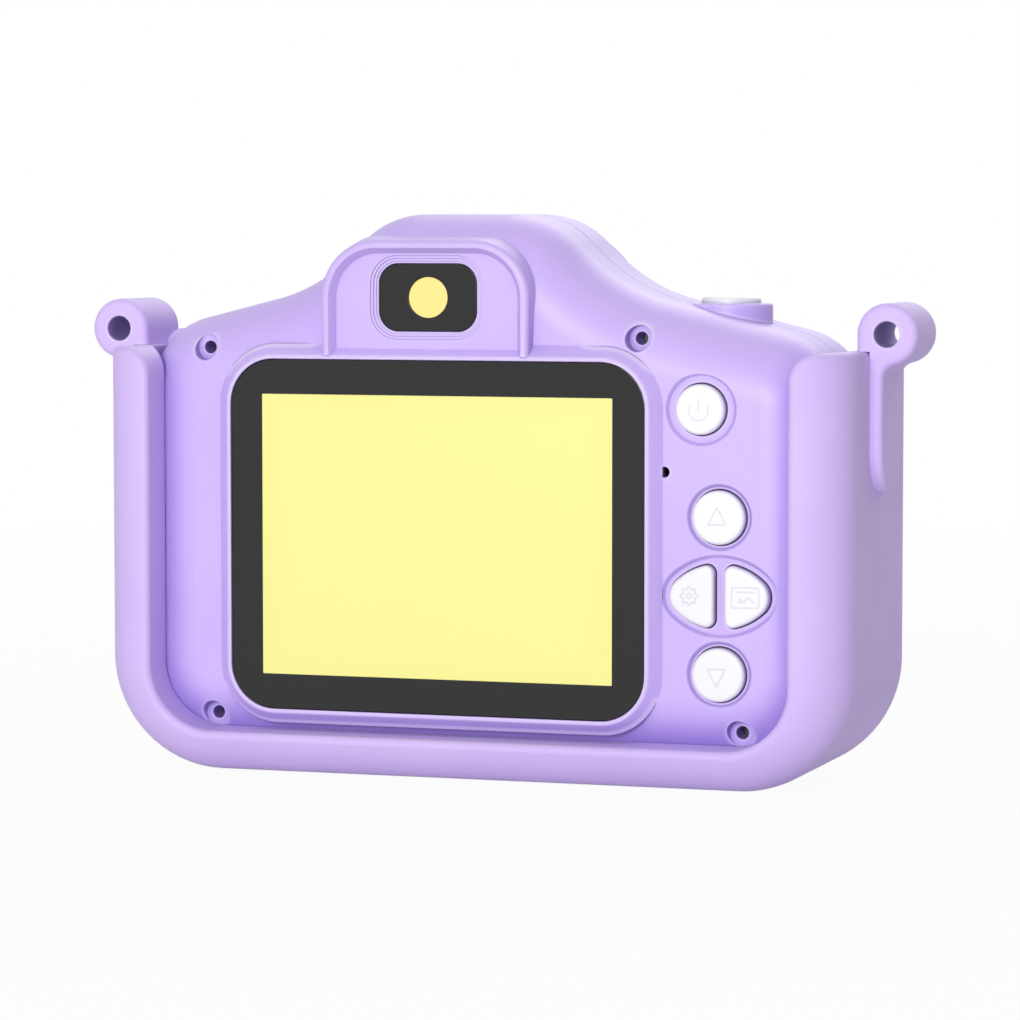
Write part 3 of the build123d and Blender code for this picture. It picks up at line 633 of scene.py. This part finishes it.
@dataclass(frozen=True)
class CoatedLens:
    """The picture lens: dark glass whose coating turns from one colour to another at its rim."""

    middle: Colour
    rim: Colour
    centre: tuple[float, float]
    radius: float
    turn_span: Span = (0.1, 1.0)
    roughness: float = 0.02
    dust_size: float = 3.0 * MM
    dust_roughness: float = 0.05

    def material(self, name: str) -> bpy.types.Material:
        """Makes the material: the colour follows the distance from the lens axis.

        Args:
            name: The material's name.

        Returns:
            The material.
        """
        made, graph = new_surface(name)
        across, _, up = graph.parts(graph.place())
        square = (across - self.centre[0]) ** 2.0 + (up - self.centre[1]) ** 2.0
        reach = graph.math("SQRT", square) / self.radius
        principled(graph, {
            "Base Color": graph.blend(graph.between(reach, self.turn_span), self.middle, self.rim),
            "Roughness": graph.grain(self.dust_size) * self.dust_roughness + self.roughness,
            "Coat Weight": 1.0,
            "Coat Roughness": self.roughness})
        return made


@dataclass(frozen=True)
class Foil:
    """The battery's crimped pouch foil: soft dents, and a fine crease pattern."""

    colour: Colour
    shade: Colour
    metallic: float = 0.85
    roughness: float = 0.25
    dent_size: float = 5.0 * MM
    dent_depth: float = 0.08 * MM
    dent_strength: float = 0.5
    crease_size: float = 0.5 * MM
    crease_detail: float = 3.0
    crease_stretch: tuple[float, float, float] = (1.0, 1.0, 0.3)
    crease_share: float = 0.2
    crease_roughness: float = 0.3

    def material(self, name: str) -> bpy.types.Material:
        """Makes the material: slow noise makes the dents, and fine noise the creases.

        Args:
            name: The material's name.

        Returns:
            The material.
        """
        made, graph = new_surface(name)
        dents = graph.grain(self.dent_size)
        creases = graph.grain(self.crease_size, self.crease_detail, self.crease_stretch)
        relief = dents + creases * self.crease_share
        principled(graph, {
            "Base Color": graph.blend(dents, self.colour, self.shade),
            "Metallic": self.metallic,
            "Roughness": creases * self.crease_roughness + self.roughness,
            "Normal": graph.bump(relief, self.dent_depth, self.dent_strength)})
        return made


# The third colour of LILAC, SILICONE and WHITE_CAP is painted shade for hollows; E9DBFF is a painted
# highlight at outer edge lines.
LILAC = MouldedPlastic(linear("D0B9F9"), linear("CDB5F7"), linear("9A84CC"), roughness=0.42,
                       edge_highlight=linear("E9DBFF"))
SILICONE = MouldedPlastic(linear("D9C1FC"), linear("D5BDFA"), linear("9A84CC"), shade_alone=True,
                          edge_highlight=linear("E9DBFF"), roughness=0.58, grain_size=0.3 * MM,
                          edge=0.35 * MM, sheen=0.08, sheen_roughness=0.4, specular=0.4)
WHITE_CAP = MouldedPlastic(linear("F8F7FB"), linear("F3F2F8"), linear("A59CBC"), roughness=0.34,
                           grain_depth=0.006 * MM, edge=0.22 * MM)
SYMBOL = MouldedPlastic(linear("E8E5F0"), linear("E2DFEB"), roughness=0.4, grain_depth=0.004 * MM,
                        edge=0.03 * MM)
BLACK_PLASTIC = MouldedPlastic(linear("1E1E20"), linear("19191B"), roughness=0.55, edge=0.1 * MM)
BAFFLE = MouldedPlastic(linear("1C1C20"), linear("17171B"), roughness=0.6, grain_depth=0.003 * MM,
                        edge=0.05 * MM)
FOAM_TAPE = MouldedPlastic(linear("161616"), linear("1C1C1C"), roughness=0.9, grain_size=0.4 * MM,
                           grain_depth=0.05 * MM, grain_strength=0.6, edge=0.05 * MM)
PHOSPHOR = MouldedPlastic(linear("F0E6A0"), linear("E8DA88"), roughness=0.6, grain_size=0.1 * MM,
                          grain_depth=0.02 * MM, edge=0.05 * MM)
BLACK_PANEL = PrintedPanel(linear("101010"), linear("242424"))
YELLOW_LENS = PrintedPanel(linear("FBEB8E"), linear("FCF0A4"), roughness=0.12)
STEEL = Metal(linear("C9CACD"), linear("9FA0A4"))
ZINC = Metal(linear("5A5A60"), linear("3E3E44"), roughness=0.3, stretch=(1.0, 0.1, 1.0))
BOARD = CircuitBoard(linear("0F5A34"), linear("1C7A48"), linear("D8C88A"))
POUCH = Foil(linear("C8CBD0"), linear("A9ADB4"))
CLEAR = Glass(linear("1A1C22"), linear("3A3D46"))


# ---- Surfaces -----------------------------------------------------------------------------------


@dataclass(frozen=True)
class Sheet:
    """A grid of points whose rows are closed rings, and whether each end is capped."""

    points: np.ndarray
    cap_start: bool = True
    cap_end: bool = True

    def mesh(self, name: str) -> bpy.types.Mesh:
        """Turns the grid into four-sided faces, with a fan to a middle point at each capped end.

        Args:
            name: The mesh's name.

        Returns:
            The mesh, with smooth faces.
        """
        rows, columns = self.points.shape[:2]
        corners = self.points.reshape(-1, 3)
        ring = np.arange(columns)
        following = (ring + 1) % columns
        row = columns * np.arange(rows - 1)[:, None]
        above = row + columns
        quads = np.stack([row + ring, row + following, above + following, above + ring], -1)
        faces = quads.reshape(-1, 4).tolist()
        last = (rows - 1) * columns
        ends = ((self.cap_start, 0, following, ring), (self.cap_end, last, ring, following))
        for capped, first, near, far in ends:
            if capped:
                middle = np.full(columns, len(corners))
                corners = np.vstack([corners, corners[first:first + columns].mean(0)])
                faces += np.stack([near + first, far + first, middle], -1).tolist()
        made = bpy.data.meshes.new(name)
        made.from_pydata(corners.tolist(), [], faces)
        made.validate()
        made.shade_smooth()
        return made


def make_piece(name: str, shape: Sheet, finish: bpy.types.Material, body: str) -> None:
    """Puts a surface into the scene as a piece, with its faces outward.

    Args:
        name: The piece's name.
        shape: Its surface, in metres in the shared frame.
        finish: Its material.
        body: The body that it moves with.
    """
    mesh = shape.mesh(name)
    outwards(mesh)
    mesh.materials.append(finish)
    piece = bpy.data.objects.new(name, mesh)
    bpy.context.scene.collection.objects.link(piece)
    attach(piece, body)
    LOG.info("%s: %d faces on %s", name, len(mesh.polygons), body)


def outwards(mesh: bpy.types.Mesh) -> None:
    """Turns a closed mesh's faces outwards, by the sign of its volume.

    Args:
        mesh: The mesh.
    """
    mesh.calc_loop_triangles()
    points = np.empty(len(mesh.vertices) * 3)
    mesh.vertices.foreach_get("co", points)
    corners = np.empty(len(mesh.loop_triangles) * 3, dtype=np.int32)
    mesh.loop_triangles.foreach_get("vertices", corners)
    a, b, c = (points.reshape(-1, 3)[corners.reshape(-1, 3)[:, index]] for index in range(3))
    if np.einsum("ij,ij->i", a, np.cross(b, c)).sum() < 0.0:
        mesh.flip_normals()


def arc(centre: tuple[float, float], radius: float, start: float, end: float,
        count: int) -> np.ndarray:
    """Points on an arc: centre + radius (cos t, sin t).

    Args:
        centre: The centre.
        radius: The radius.
        start: The first angle, in degrees.
        end: The last angle, in degrees.
        count: How many points.

    Returns:
        An array of count by 2.
    """
    turn = np.radians(np.linspace(start, end, count))
    return np.stack([centre[0] + radius * np.cos(turn), centre[1] + radius * np.sin(turn)], -1)


def circle(centre: tuple[float, float], radius: float, count: int) -> np.ndarray:
    """Evenly spaced points once round a circle.

    Args:
        centre: The centre.
        radius: The radius.
        count: How many points.

    Returns:
        An array of count by 2.
    """
    return arc(centre, radius, 0.0, 360.0 - 360.0 / count, count)


def line(start: tuple[float, float], end: tuple[float, float], count: int = 9) -> np.ndarray:
    """Evenly spaced points from start to end.

    Args:
        start: The first point.
        end: The last point.
        count: How many points.

    Returns:
        An array of count by 2.
    """
    share = np.linspace(0.0, 1.0, count)[:, None]
    return np.array(start) * (1.0 - share) + np.array(end) * share


def rounded_outline(half_width: float, half_height: float, radius: float,
                    count: int = 9) -> np.ndarray:
    """The outline of a rectangle with round corners, anticlockwise.

    Args:
        half_width: Half its width.
        half_height: Half its height.
        radius: Its corner radius.
        count: Points on each corner.

    Returns:
        An array of 4 count by 2.
    """
    quarters = 0.25 * TURN * np.arange(4)[:, None]
    turn = quarters + np.linspace(0.0, 0.25 * TURN, count)[None, :]
    sign_x = np.array([1.0, -1.0, -1.0, 1.0])[:, None]
    sign_z = np.array([1.0, 1.0, -1.0, -1.0])[:, None]
    across = sign_x * (half_width - radius) + radius * np.cos(turn)
    up = sign_z * (half_height - radius) + radius * np.sin(turn)
    return np.stack([across, up], -1).reshape(-1, 2)


def plate(outline: np.ndarray, back: float, face: float, edge: float, steps: int = 5,
          flat_edges: float = 4.0, inner_share: float = 0.5) -> Sheet:
    """A flat plate whose front edge is rounded: the outline, drawn in by edge (1 - cos t) as it
    rises by edge sin t over a quarter turn, then two flat rings on the face, and closed in front
    and behind.

    Args:
        outline: Points round the plate, as X and Z.
        back: The Y of its back.
        face: The Y of its face.
        edge: The radius of its front edge.
        steps: Rows round that edge.
        flat_edges: How many edge radii the first flat ring is drawn in.
        inner_share: How far the second is drawn in, as a share of the way to the middle.

    Returns:
        The surface.
    """
    middle = outline.mean(0)
    spread = outline - middle
    reach = np.linalg.norm(spread, axis=1, keepdims=True)
    turn = np.linspace(0.0, 0.25 * TURN, steps)
    towards = math.copysign(1.0, face - back)
    rings = [flat_edges * edge, reach.min() * inner_share]
    drawn = np.concatenate([[0.0], edge * (1.0 - np.cos(turn)), rings])
    depth = np.concatenate([[back], face - towards * edge * (1.0 - np.sin(turn)), [face, face]])
    flat = middle + spread[None] * (1.0 - drawn[:, None, None] / reach[None])
    deep = np.broadcast_to(depth[:, None], flat.shape[:2])
    return Sheet(np.stack([flat[..., 0], deep, flat[..., 1]], -1))


def bead(path: np.ndarray, face: float, width: float, rise: float, closed: bool,
         sides: int = 16, root: float = 0.3, tip: float = 0.05) -> Sheet:
    """A low raised line: a flat ellipse, carried along a path that lies on a face. Its section at
    t is the path point + (width / 2) cos t times the path's sideways direction, at
    face - rise sin t. The half behind the face is only root times as deep. An open path's ends are
    round: there the half width h shrinks to h sqrt(1 - (1 - d / h)^2), d from the end.

    Args:
        path: Points along the line, as X and Z.
        face: The Y of the face that it lies on, which looks towards -Y.
        width: The line's width.
        rise: How far it stands out.
        closed: Whether its end joins its start.
        sides: Points round the section.
        root: How deep it reaches behind the face, as a share of its rise.
        tip: The least share of the half width that an end is measured at.

    Returns:
        The surface.
    """
    following, before = np.roll(path, -1, 0), np.roll(path, 1, 0)
    ahead = following - before if closed else np.gradient(path, axis=0)
    ahead /= np.linalg.norm(ahead, axis=1, keepdims=True)
    side = np.stack([-ahead[:, 1], ahead[:, 0]], -1)
    half = np.full(len(path), 0.5 * width)
    if not closed:
        lengths = np.linalg.norm(np.diff(path, axis=0), axis=1)
        run = np.concatenate([[0.0], np.cumsum(lengths)])
        left = np.minimum(run, run[-1] - run) / (0.5 * width)
        half *= np.sqrt(np.clip(1.0 - (1.0 - np.clip(left, tip, 1.0)) ** 2, 0.0, 1.0))
    turn = np.linspace(0.0, TURN, sides, endpoint=False)
    across = half[:, None] * np.cos(turn)[None]
    flat = path[:, None] + across[..., None] * side[:, None]
    share = (half / (0.5 * width))[:, None]
    height = np.where(np.sin(turn) > 0.0, rise, root * rise) * np.sin(turn)
    deep = face - height[None] * share
    points = np.stack([flat[..., 0], deep, flat[..., 1]], -1)
    if closed:
        points = np.concatenate([points, points[:1]])
    return Sheet(points, cap_start=not closed, cap_end=not closed)


def turned(profile: np.ndarray, centre: tuple[float, float], columns: int = 96) -> Sheet:
    """A turned form: a closed profile of radius and Y, carried once round an axis along Y.

    Args:
        profile: Rows of radius and Y.
        centre: The X and Z of the axis.
        columns: Points round the axis.

    Returns:
        The surface.
    """
    turn = np.linspace(0.0, TURN, columns, endpoint=False)
    radius = np.broadcast_to(profile[:, :1], (len(profile), columns))
    deep = np.broadcast_to(profile[:, 1:2], radius.shape)
    across = centre[0] + radius * np.cos(turn)
    up = centre[1] + radius * np.sin(turn)
    return Sheet(np.stack([across, deep, up], -1), cap_start=False, cap_end=False)


# ---- Sub-assemblies -----------------------------------------------------------------------------


class NodeName(Enum):
    """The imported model's nodes by the finish that they get."""

    LILAC = ("rear_shell", "front_shell", "shutter_collar", "lens_barrel")
    SILICONE = ("silicone_sleeve", "left_strap_lug", "right_strap_lug")
    WHITE = ("power_button", "up_button", "down_button", "settings_button", "gallery_button",
             "shutter_button", "lens_trim_ring")
    PANEL = ("screen_window", "eyepiece_window")
    YELLOW = ("rear_lens",)
    CLEAR = ("front_lens_glass", "flash_lens")
    BLACK = ("lcd_holder", "lcd_module", "rear_camera_module", "speaker")
    LENS = ("front_camera_module",)
    TAPE = ("window_adhesive",)
    STEEL = ("tact_switches", "shutter_switch", "microphone", "usb_port", "card_socket")
    ZINC = ("board_screws", "housing_screws")
    BOARD = ("main_board", "shutter_board")
    POUCH = ("battery",)
    PHOSPHOR = ("flash_led",)


@dataclass
class CarriedNodes:
    """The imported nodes, which keep their shapes and get their finishes here."""

    nodes: dict[str, bpy.types.Object]

    def dress(self) -> None:
        """Gives every node the finish that its group asks for."""
        low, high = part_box("front_camera_module")
        middle = (low.x + high.x) / 2, (low.z + high.z) / 2
        coated = CoatedLens(linear("1B1030"), linear("06060A"), middle, (high.x - low.x) / 2)
        finishes: dict[NodeName, Finish] = {
            NodeName.LILAC: LILAC, NodeName.SILICONE: SILICONE, NodeName.WHITE: WHITE_CAP,
            NodeName.PANEL: BLACK_PANEL, NodeName.YELLOW: YELLOW_LENS, NodeName.CLEAR: CLEAR,
            NodeName.BLACK: BLACK_PLASTIC, NodeName.LENS: coated, NodeName.TAPE: FOAM_TAPE,
            NodeName.STEEL: STEEL, NodeName.ZINC: ZINC, NodeName.BOARD: BOARD,
            NodeName.POUCH: POUCH, NodeName.PHOSPHOR: PHOSPHOR}
        for group, finish in finishes.items():
            made = finish.material(group.name.lower())
            for name in group.value:
                self.assign(name, made)

    def assign(self, name: str, material: bpy.types.Material) -> None:
        """Puts one material in all the slots of one node.

        Args:
            name: The node.
            material: The material.
        """
        node = self.nodes[name]
        for holder in node.material_slots:
            holder.material = material
        LOG.info("%s: %s", name, material.name)


@dataclass
class Display:
    """The lit picture area on the black screen window."""

    width: float = 40.8 * MM
    height: float = 31.3 * MM
    corner: float = 0.12 * MM
    proud: float = 0.03 * MM
    sunk: float = 0.2 * MM
    middle: tuple[float, float] = field(init=False)
    face: float = field(init=False)

    def __post_init__(self) -> None:
        """Finds the window's middle and face."""
        low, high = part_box("screen_window")
        self.middle = ((low.x + high.x) / 2, (low.z + high.z) / 2)
        self.face = low.y

    def build(self) -> None:
        """Makes the picture area as a thin plate whose face stands just proud of the window."""
        half_size = self.width / 2, self.height / 2
        outline = rounded_outline(*half_size, self.corner) + np.array(self.middle)
        shape = plate(outline, self.face + self.sunk, self.face - self.proud, self.proud / 2)
        finish = LitDisplay(linear("FFFB9C"), linear("D3CF80"), linear("CDC878"),
                            self.middle, half_size)
        make_piece("lit_display", shape, finish.material("lit_display"), "camera")


class Sign(Protocol):
    """A sign that is drawn with lines, in millimetres about a button cap's middle."""

    def open_lines(self) -> list[np.ndarray]:
        """Draws the lines that have two ends."""
        ...

    def closed_lines(self) -> list[np.ndarray]:
        """Draws the lines whose end joins their start."""
        ...


@dataclass(frozen=True)
class PowerSign:
    """A ring that is open at its top, and a stroke down into the opening."""

    radius: float = 1.08
    opening: float = 126.0
    stroke_foot: float = -0.2
    stroke_top: float = 1.4
    ring_points: int = 41

    def open_lines(self) -> list[np.ndarray]:
        """Draws the ring from one side of its opening to the other, and the stroke.

        Returns:
            Both lines.
        """
        start = 90.0 + self.opening / 2
        end = start + 360.0 - self.opening
        ring = arc((0.0, 0.0), self.radius, start, end, self.ring_points)
        return [ring, line((0.0, self.stroke_foot), (0.0, self.stroke_top))]

    def closed_lines(self) -> list[np.ndarray]:
        """Draws nothing."""
        return []


@dataclass(frozen=True)
class ArrowSign:
    """An outlined triangle that points up, or down."""

    half_base: float = 0.98
    base: float = -0.75
    tip: float = 1.15
    downwards: bool = False
    side_points: int = 12

    def open_lines(self) -> list[np.ndarray]:
        """Draws nothing."""
        return []

    def closed_lines(self) -> list[np.ndarray]:
        """Draws the triangle, one side after another.

        Returns:
            Its outline.
        """
        sign = -1.0 if self.downwards else 1.0
        left, right = (-self.half_base, sign * self.base), (self.half_base, sign * self.base)
        tip = (0.0, sign * self.tip)
        sides = ((left, right), (right, tip), (tip, left))
        count = self.side_points + 1
        return [np.concatenate([line(start, end, count)[:-1] for start, end in sides])]


@dataclass(frozen=True)
class GearSign:
    """A gear, whose outline is at radius + tooth tanh(steepness cos(teeth t)), and its hole."""

    radius: float = 0.86
    tooth: float = 0.14
    teeth: int = 8
    steepness: float = 3.0
    tooth_points: int = 12
    hole: float = 0.28
    hole_points: int = 24

    def open_lines(self) -> list[np.ndarray]:
        """Draws nothing."""
        return []

    def closed_lines(self) -> list[np.ndarray]:
        """Draws the toothed outline and the hole.

        Returns:
            Both lines.
        """
        turn = np.linspace(0.0, TURN, self.tooth_points * self.teeth, endpoint=False)
        reach = self.radius + self.tooth * np.tanh(self.steepness * np.cos(self.teeth * turn))
        outline = np.stack([reach * np.cos(turn), reach * np.sin(turn)], -1)
        return [outline, circle((0.0, 0.0), self.hole, self.hole_points)]


@dataclass(frozen=True)
class PictureSign:
    """A framed picture of a hill and a sun under a line."""

    half_width: float = 1.5
    half_height: float = 1.1
    corner: float = 0.08
    corner_points: int = 4
    line_start: tuple[float, float] = (-1.0, 0.62)
    line_end: tuple[float, float] = (1.1, 0.62)
    hill_left: tuple[float, float] = (-0.2, -0.55)
    hill_top: tuple[float, float] = (0.35, 0.1)
    hill_right: tuple[float, float] = (1.0, -0.55)
    sun: tuple[float, float] = (-0.5, -0.35)
    sun_radius: float = 0.2
    sun_points: int = 18

    def open_lines(self) -> list[np.ndarray]:
        """Draws the line and the hill's two slopes."""
        return [line(self.line_start, self.line_end), line(self.hill_left, self.hill_top),
                line(self.hill_top, self.hill_right)]

    def closed_lines(self) -> list[np.ndarray]:
        """Draws the frame and the sun."""
        frame_line = rounded_outline(self.half_width, self.half_height, self.corner,
                                     self.corner_points)
        return [frame_line, circle(self.sun, self.sun_radius, self.sun_points)]


@dataclass(frozen=True)
class Symbol:
    """One raised sign on a button cap, in millimetres about the cap's middle."""

    button: str
    name: str
    sign: Sign
    shift: tuple[float, float] = (0.0, 0.0)
    width: float = 0.17
    rise: float = 0.035

    def build(self, finish: bpy.types.Material) -> None:
        """Makes each line of the sign as a low bead that rides on the cap.

        Args:
            finish: The symbols' material.
        """
        low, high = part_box(self.button)
        middle = np.array([(low.x + high.x) / 2, (low.z + high.z) / 2]) / MM + np.array(self.shift)
        lines = [(path, False) for path in self.sign.open_lines()]
        lines += [(path, True) for path in self.sign.closed_lines()]
        for number, (path, closed) in enumerate(lines, 1):
            shape = bead((path + middle) * MM, low.y, self.width * MM, self.rise * MM, closed)
            make_piece(f"{self.name}_{number}", shape, finish, self.button)


@dataclass(frozen=True)
class ButtonSymbols:
    """The generic symbols on the five back buttons."""

    symbols: tuple[Symbol, ...] = (
        Symbol("power_button", "power_symbol", PowerSign(), shift=(-0.1, -0.1)),
        Symbol("up_button", "up_symbol", ArrowSign(), shift=(-0.1, 0.0)),
        Symbol("down_button", "down_symbol", ArrowSign(downwards=True), shift=(-0.1, -0.1)),
        Symbol("settings_button", "gear_symbol", GearSign(), shift=(-0.2, 0.05)),
        Symbol("gallery_button", "picture_symbol", PictureSign(), shift=(-0.1, 0.0)))

    def build(self) -> None:
        """Makes every symbol with one finish."""
        finish = SYMBOL.material("symbol")
        for symbol in self.symbols:
            symbol.build(finish)


@dataclass
class LensBarrel:
    """The front lens behind its glass: a stepped baffle, which keeps stray light out."""

    steps: int = 5
    step_depth: float = 0.7 * MM
    wall: float = 0.3 * MM
    gap: float = 0.35 * MM
    throat: float = 5.0 * MM
    overlap: float = 0.6 * MM

    def build(self) -> None:
        """Makes the baffle as a turned stair that narrows to a throat round the camera's snout."""
        low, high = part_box("front_lens_glass")
        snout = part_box("front_camera_module")[1].y
        centre = (low.x + high.x) / 2, (low.z + high.z) / 2
        outer = (high.x - low.x) / 2 - self.gap
        start = low.y - self.gap
        radius = np.repeat(np.linspace(outer, self.throat, self.steps), 2)
        depth = start - np.repeat(np.arange(self.steps + 1) * self.step_depth, 2)[1:-1]
        depth[-1] = min(depth[-1], snout - self.overlap)
        stair = np.stack([radius, depth], -1)
        shell = stair[::-1] + np.array([self.wall, -self.wall])
        shell[0, 1] = depth[-1]
        shell[-1, 0] = outer
        shape = turned(np.concatenate([stair, shell, stair[:1]]), centre)
        make_piece("lens_baffle", shape, BAFFLE.material("lens_baffle"), "camera")


# ---- Studio -------------------------------------------------------------------------------------


@dataclass(frozen=True)
class SoftLamp:
    """A square soft lamp that faces a point."""

    name: str
    place: Vector
    aim: Vector
    side: float
    power: float

    def build(self) -> None:
        """Makes the lamp, whose lit side is its own -Z."""
        data = bpy.data.lights.new(self.name, "AREA")
        data.size = self.side
        data.energy = self.power
        lamp = bpy.data.objects.new(self.name, data)
        lamp.location = self.place
        lamp.rotation_euler = (self.aim - self.place).to_track_quat("-Z", "Y").to_euler()
        bpy.context.scene.collection.objects.link(lamp)


@dataclass
class Studio:
    """The floor, the soft lamps, the surround and the view."""

    eye: Vector = field(default_factory=lambda: Vector((146.05, -435.77, 60.85)) * MM)
    gaze: Vector = field(default_factory=lambda: Vector((-0.3163, 0.9462, -0.0685)))
    focal_length: float = 143.92
    sensor: float = 36.0
    nearest: float = 0.01
    farthest: float = 20.0
    aim: Vector = field(default_factory=lambda: Vector((0.0, 0.0, 0.03)))
    key_place: Vector = field(default_factory=lambda: Vector((0.03, -1.2, 0.24)))
    key_side: float = 0.42
    key_power: float = 9.5
    rim_place: Vector = field(default_factory=lambda: Vector((0.06, 0.88, 0.84)))
    rim_side: float = 0.9
    rim_power: float = 6.6
    floor_half: float = 3.0
    floor_gap: float = 0.1 * MM
    floor_grey: float = 0.75
    floor_white: float = 0.95
    fade_start: float = 0.09
    fade_end: float = 0.45
    surround: float = 0.335

    def build(self) -> None:
        """Sets up everything that isn't part of the camera."""
        self.floor()
        self.world()
        SoftLamp("key", self.key_place, self.aim, self.key_side, self.key_power).build()
        SoftLamp("rim", self.rim_place, self.aim, self.rim_side, self.rim_power).build()
        self.view()

    def seen(self, graph: Graph) -> Socket:
        """Gives 1 for rays that show a background: those from the eye, a reflection or glass.

        Args:
            graph: The graph of the floor or the surround.

        Returns:
            1 for such rays, and 0 for the rest.
        """
        path = graph.node("ShaderNodeLightPath").link.node
        shows = ("Is Camera Ray", "Is Glossy Ray", "Is Transmission Ray")
        eye, gloss, through = (Socket(graph, path.outputs[name]) for name in shows)
        return graph.math("MINIMUM", eye + gloss + through, 1.0)

    def floor(self) -> None:
        """Makes a pale floor just under the base, which keeps a faint shadow and fades to white."""
        side, low = self.floor_half, -self.floor_gap
        mesh = bpy.data.meshes.new("floor")
        corners = ((-side, -side), (side, -side), (side, side), (-side, side))
        mesh.from_pydata([(*corner, low) for corner in corners], [], [(0, 1, 2, 3)])
        made, graph = new_surface("floor")
        grey = (self.floor_grey,) * 3
        paper = graph.node("ShaderNodeBsdfDiffuse", sockets={"Color": grey})
        white = graph.node("ShaderNodeEmission", sockets={"Color": WHITE, "Strength": 1.0})
        away = graph.vector("LENGTH", graph.place(), output="Value")
        faded = graph.between(away, (self.fade_start, self.fade_end))
        near = (1.0 - faded) * (1.0 - self.floor_white)
        sockets = {0: self.seen(graph) * (1.0 - near), 1: paper, 2: white}
        shown = graph.node("ShaderNodeMixShader", sockets=sockets)
        graph.node("ShaderNodeOutputMaterial", {"target": "ALL"}, {"Surface": shown})
        mesh.materials.append(made)
        ground = bpy.data.objects.new("floor", mesh)
        bpy.context.scene.collection.objects.link(ground)

    def world(self) -> None:
        """Makes the surround: white where it is seen, and a soft even light elsewhere."""
        world = bpy.data.worlds.new("surround")
        world.use_nodes = True
        graph = Graph(world.node_tree)
        level = self.seen(graph) * (1.0 - self.surround) + self.surround
        sky = graph.node("ShaderNodeBackground", sockets={"Color": WHITE, "Strength": level})
        graph.node("ShaderNodeOutputWorld", {"target": "ALL"}, {"Surface": sky})
        bpy.context.scene.world = world

    def view(self) -> None:
        """Makes the view's own camera, and shows its colours as they are."""
        data = bpy.data.cameras.new("view")
        data.lens = self.focal_length
        data.sensor_width = self.sensor
        data.clip_start = self.nearest
        data.clip_end = self.farthest
        eye = bpy.data.objects.new("view", data)
        eye.location = self.eye
        eye.rotation_euler = self.gaze.to_track_quat("-Z", "Y").to_euler()
        scene = bpy.context.scene
        scene.collection.objects.link(eye)
        scene.camera = eye
        scene.view_settings.view_transform = "Standard"


def main() -> None:
    """Builds the dressed camera in order."""
    logging.basicConfig(level=logging.INFO, format="%(name)s: %(message)s")
    Studio().build()
    CarriedNodes(frame["nodes"]).dress()
    Display().build()
    ButtonSymbols().build()
    LensBarrel().build()


if __name__ == "__main__":
    main()
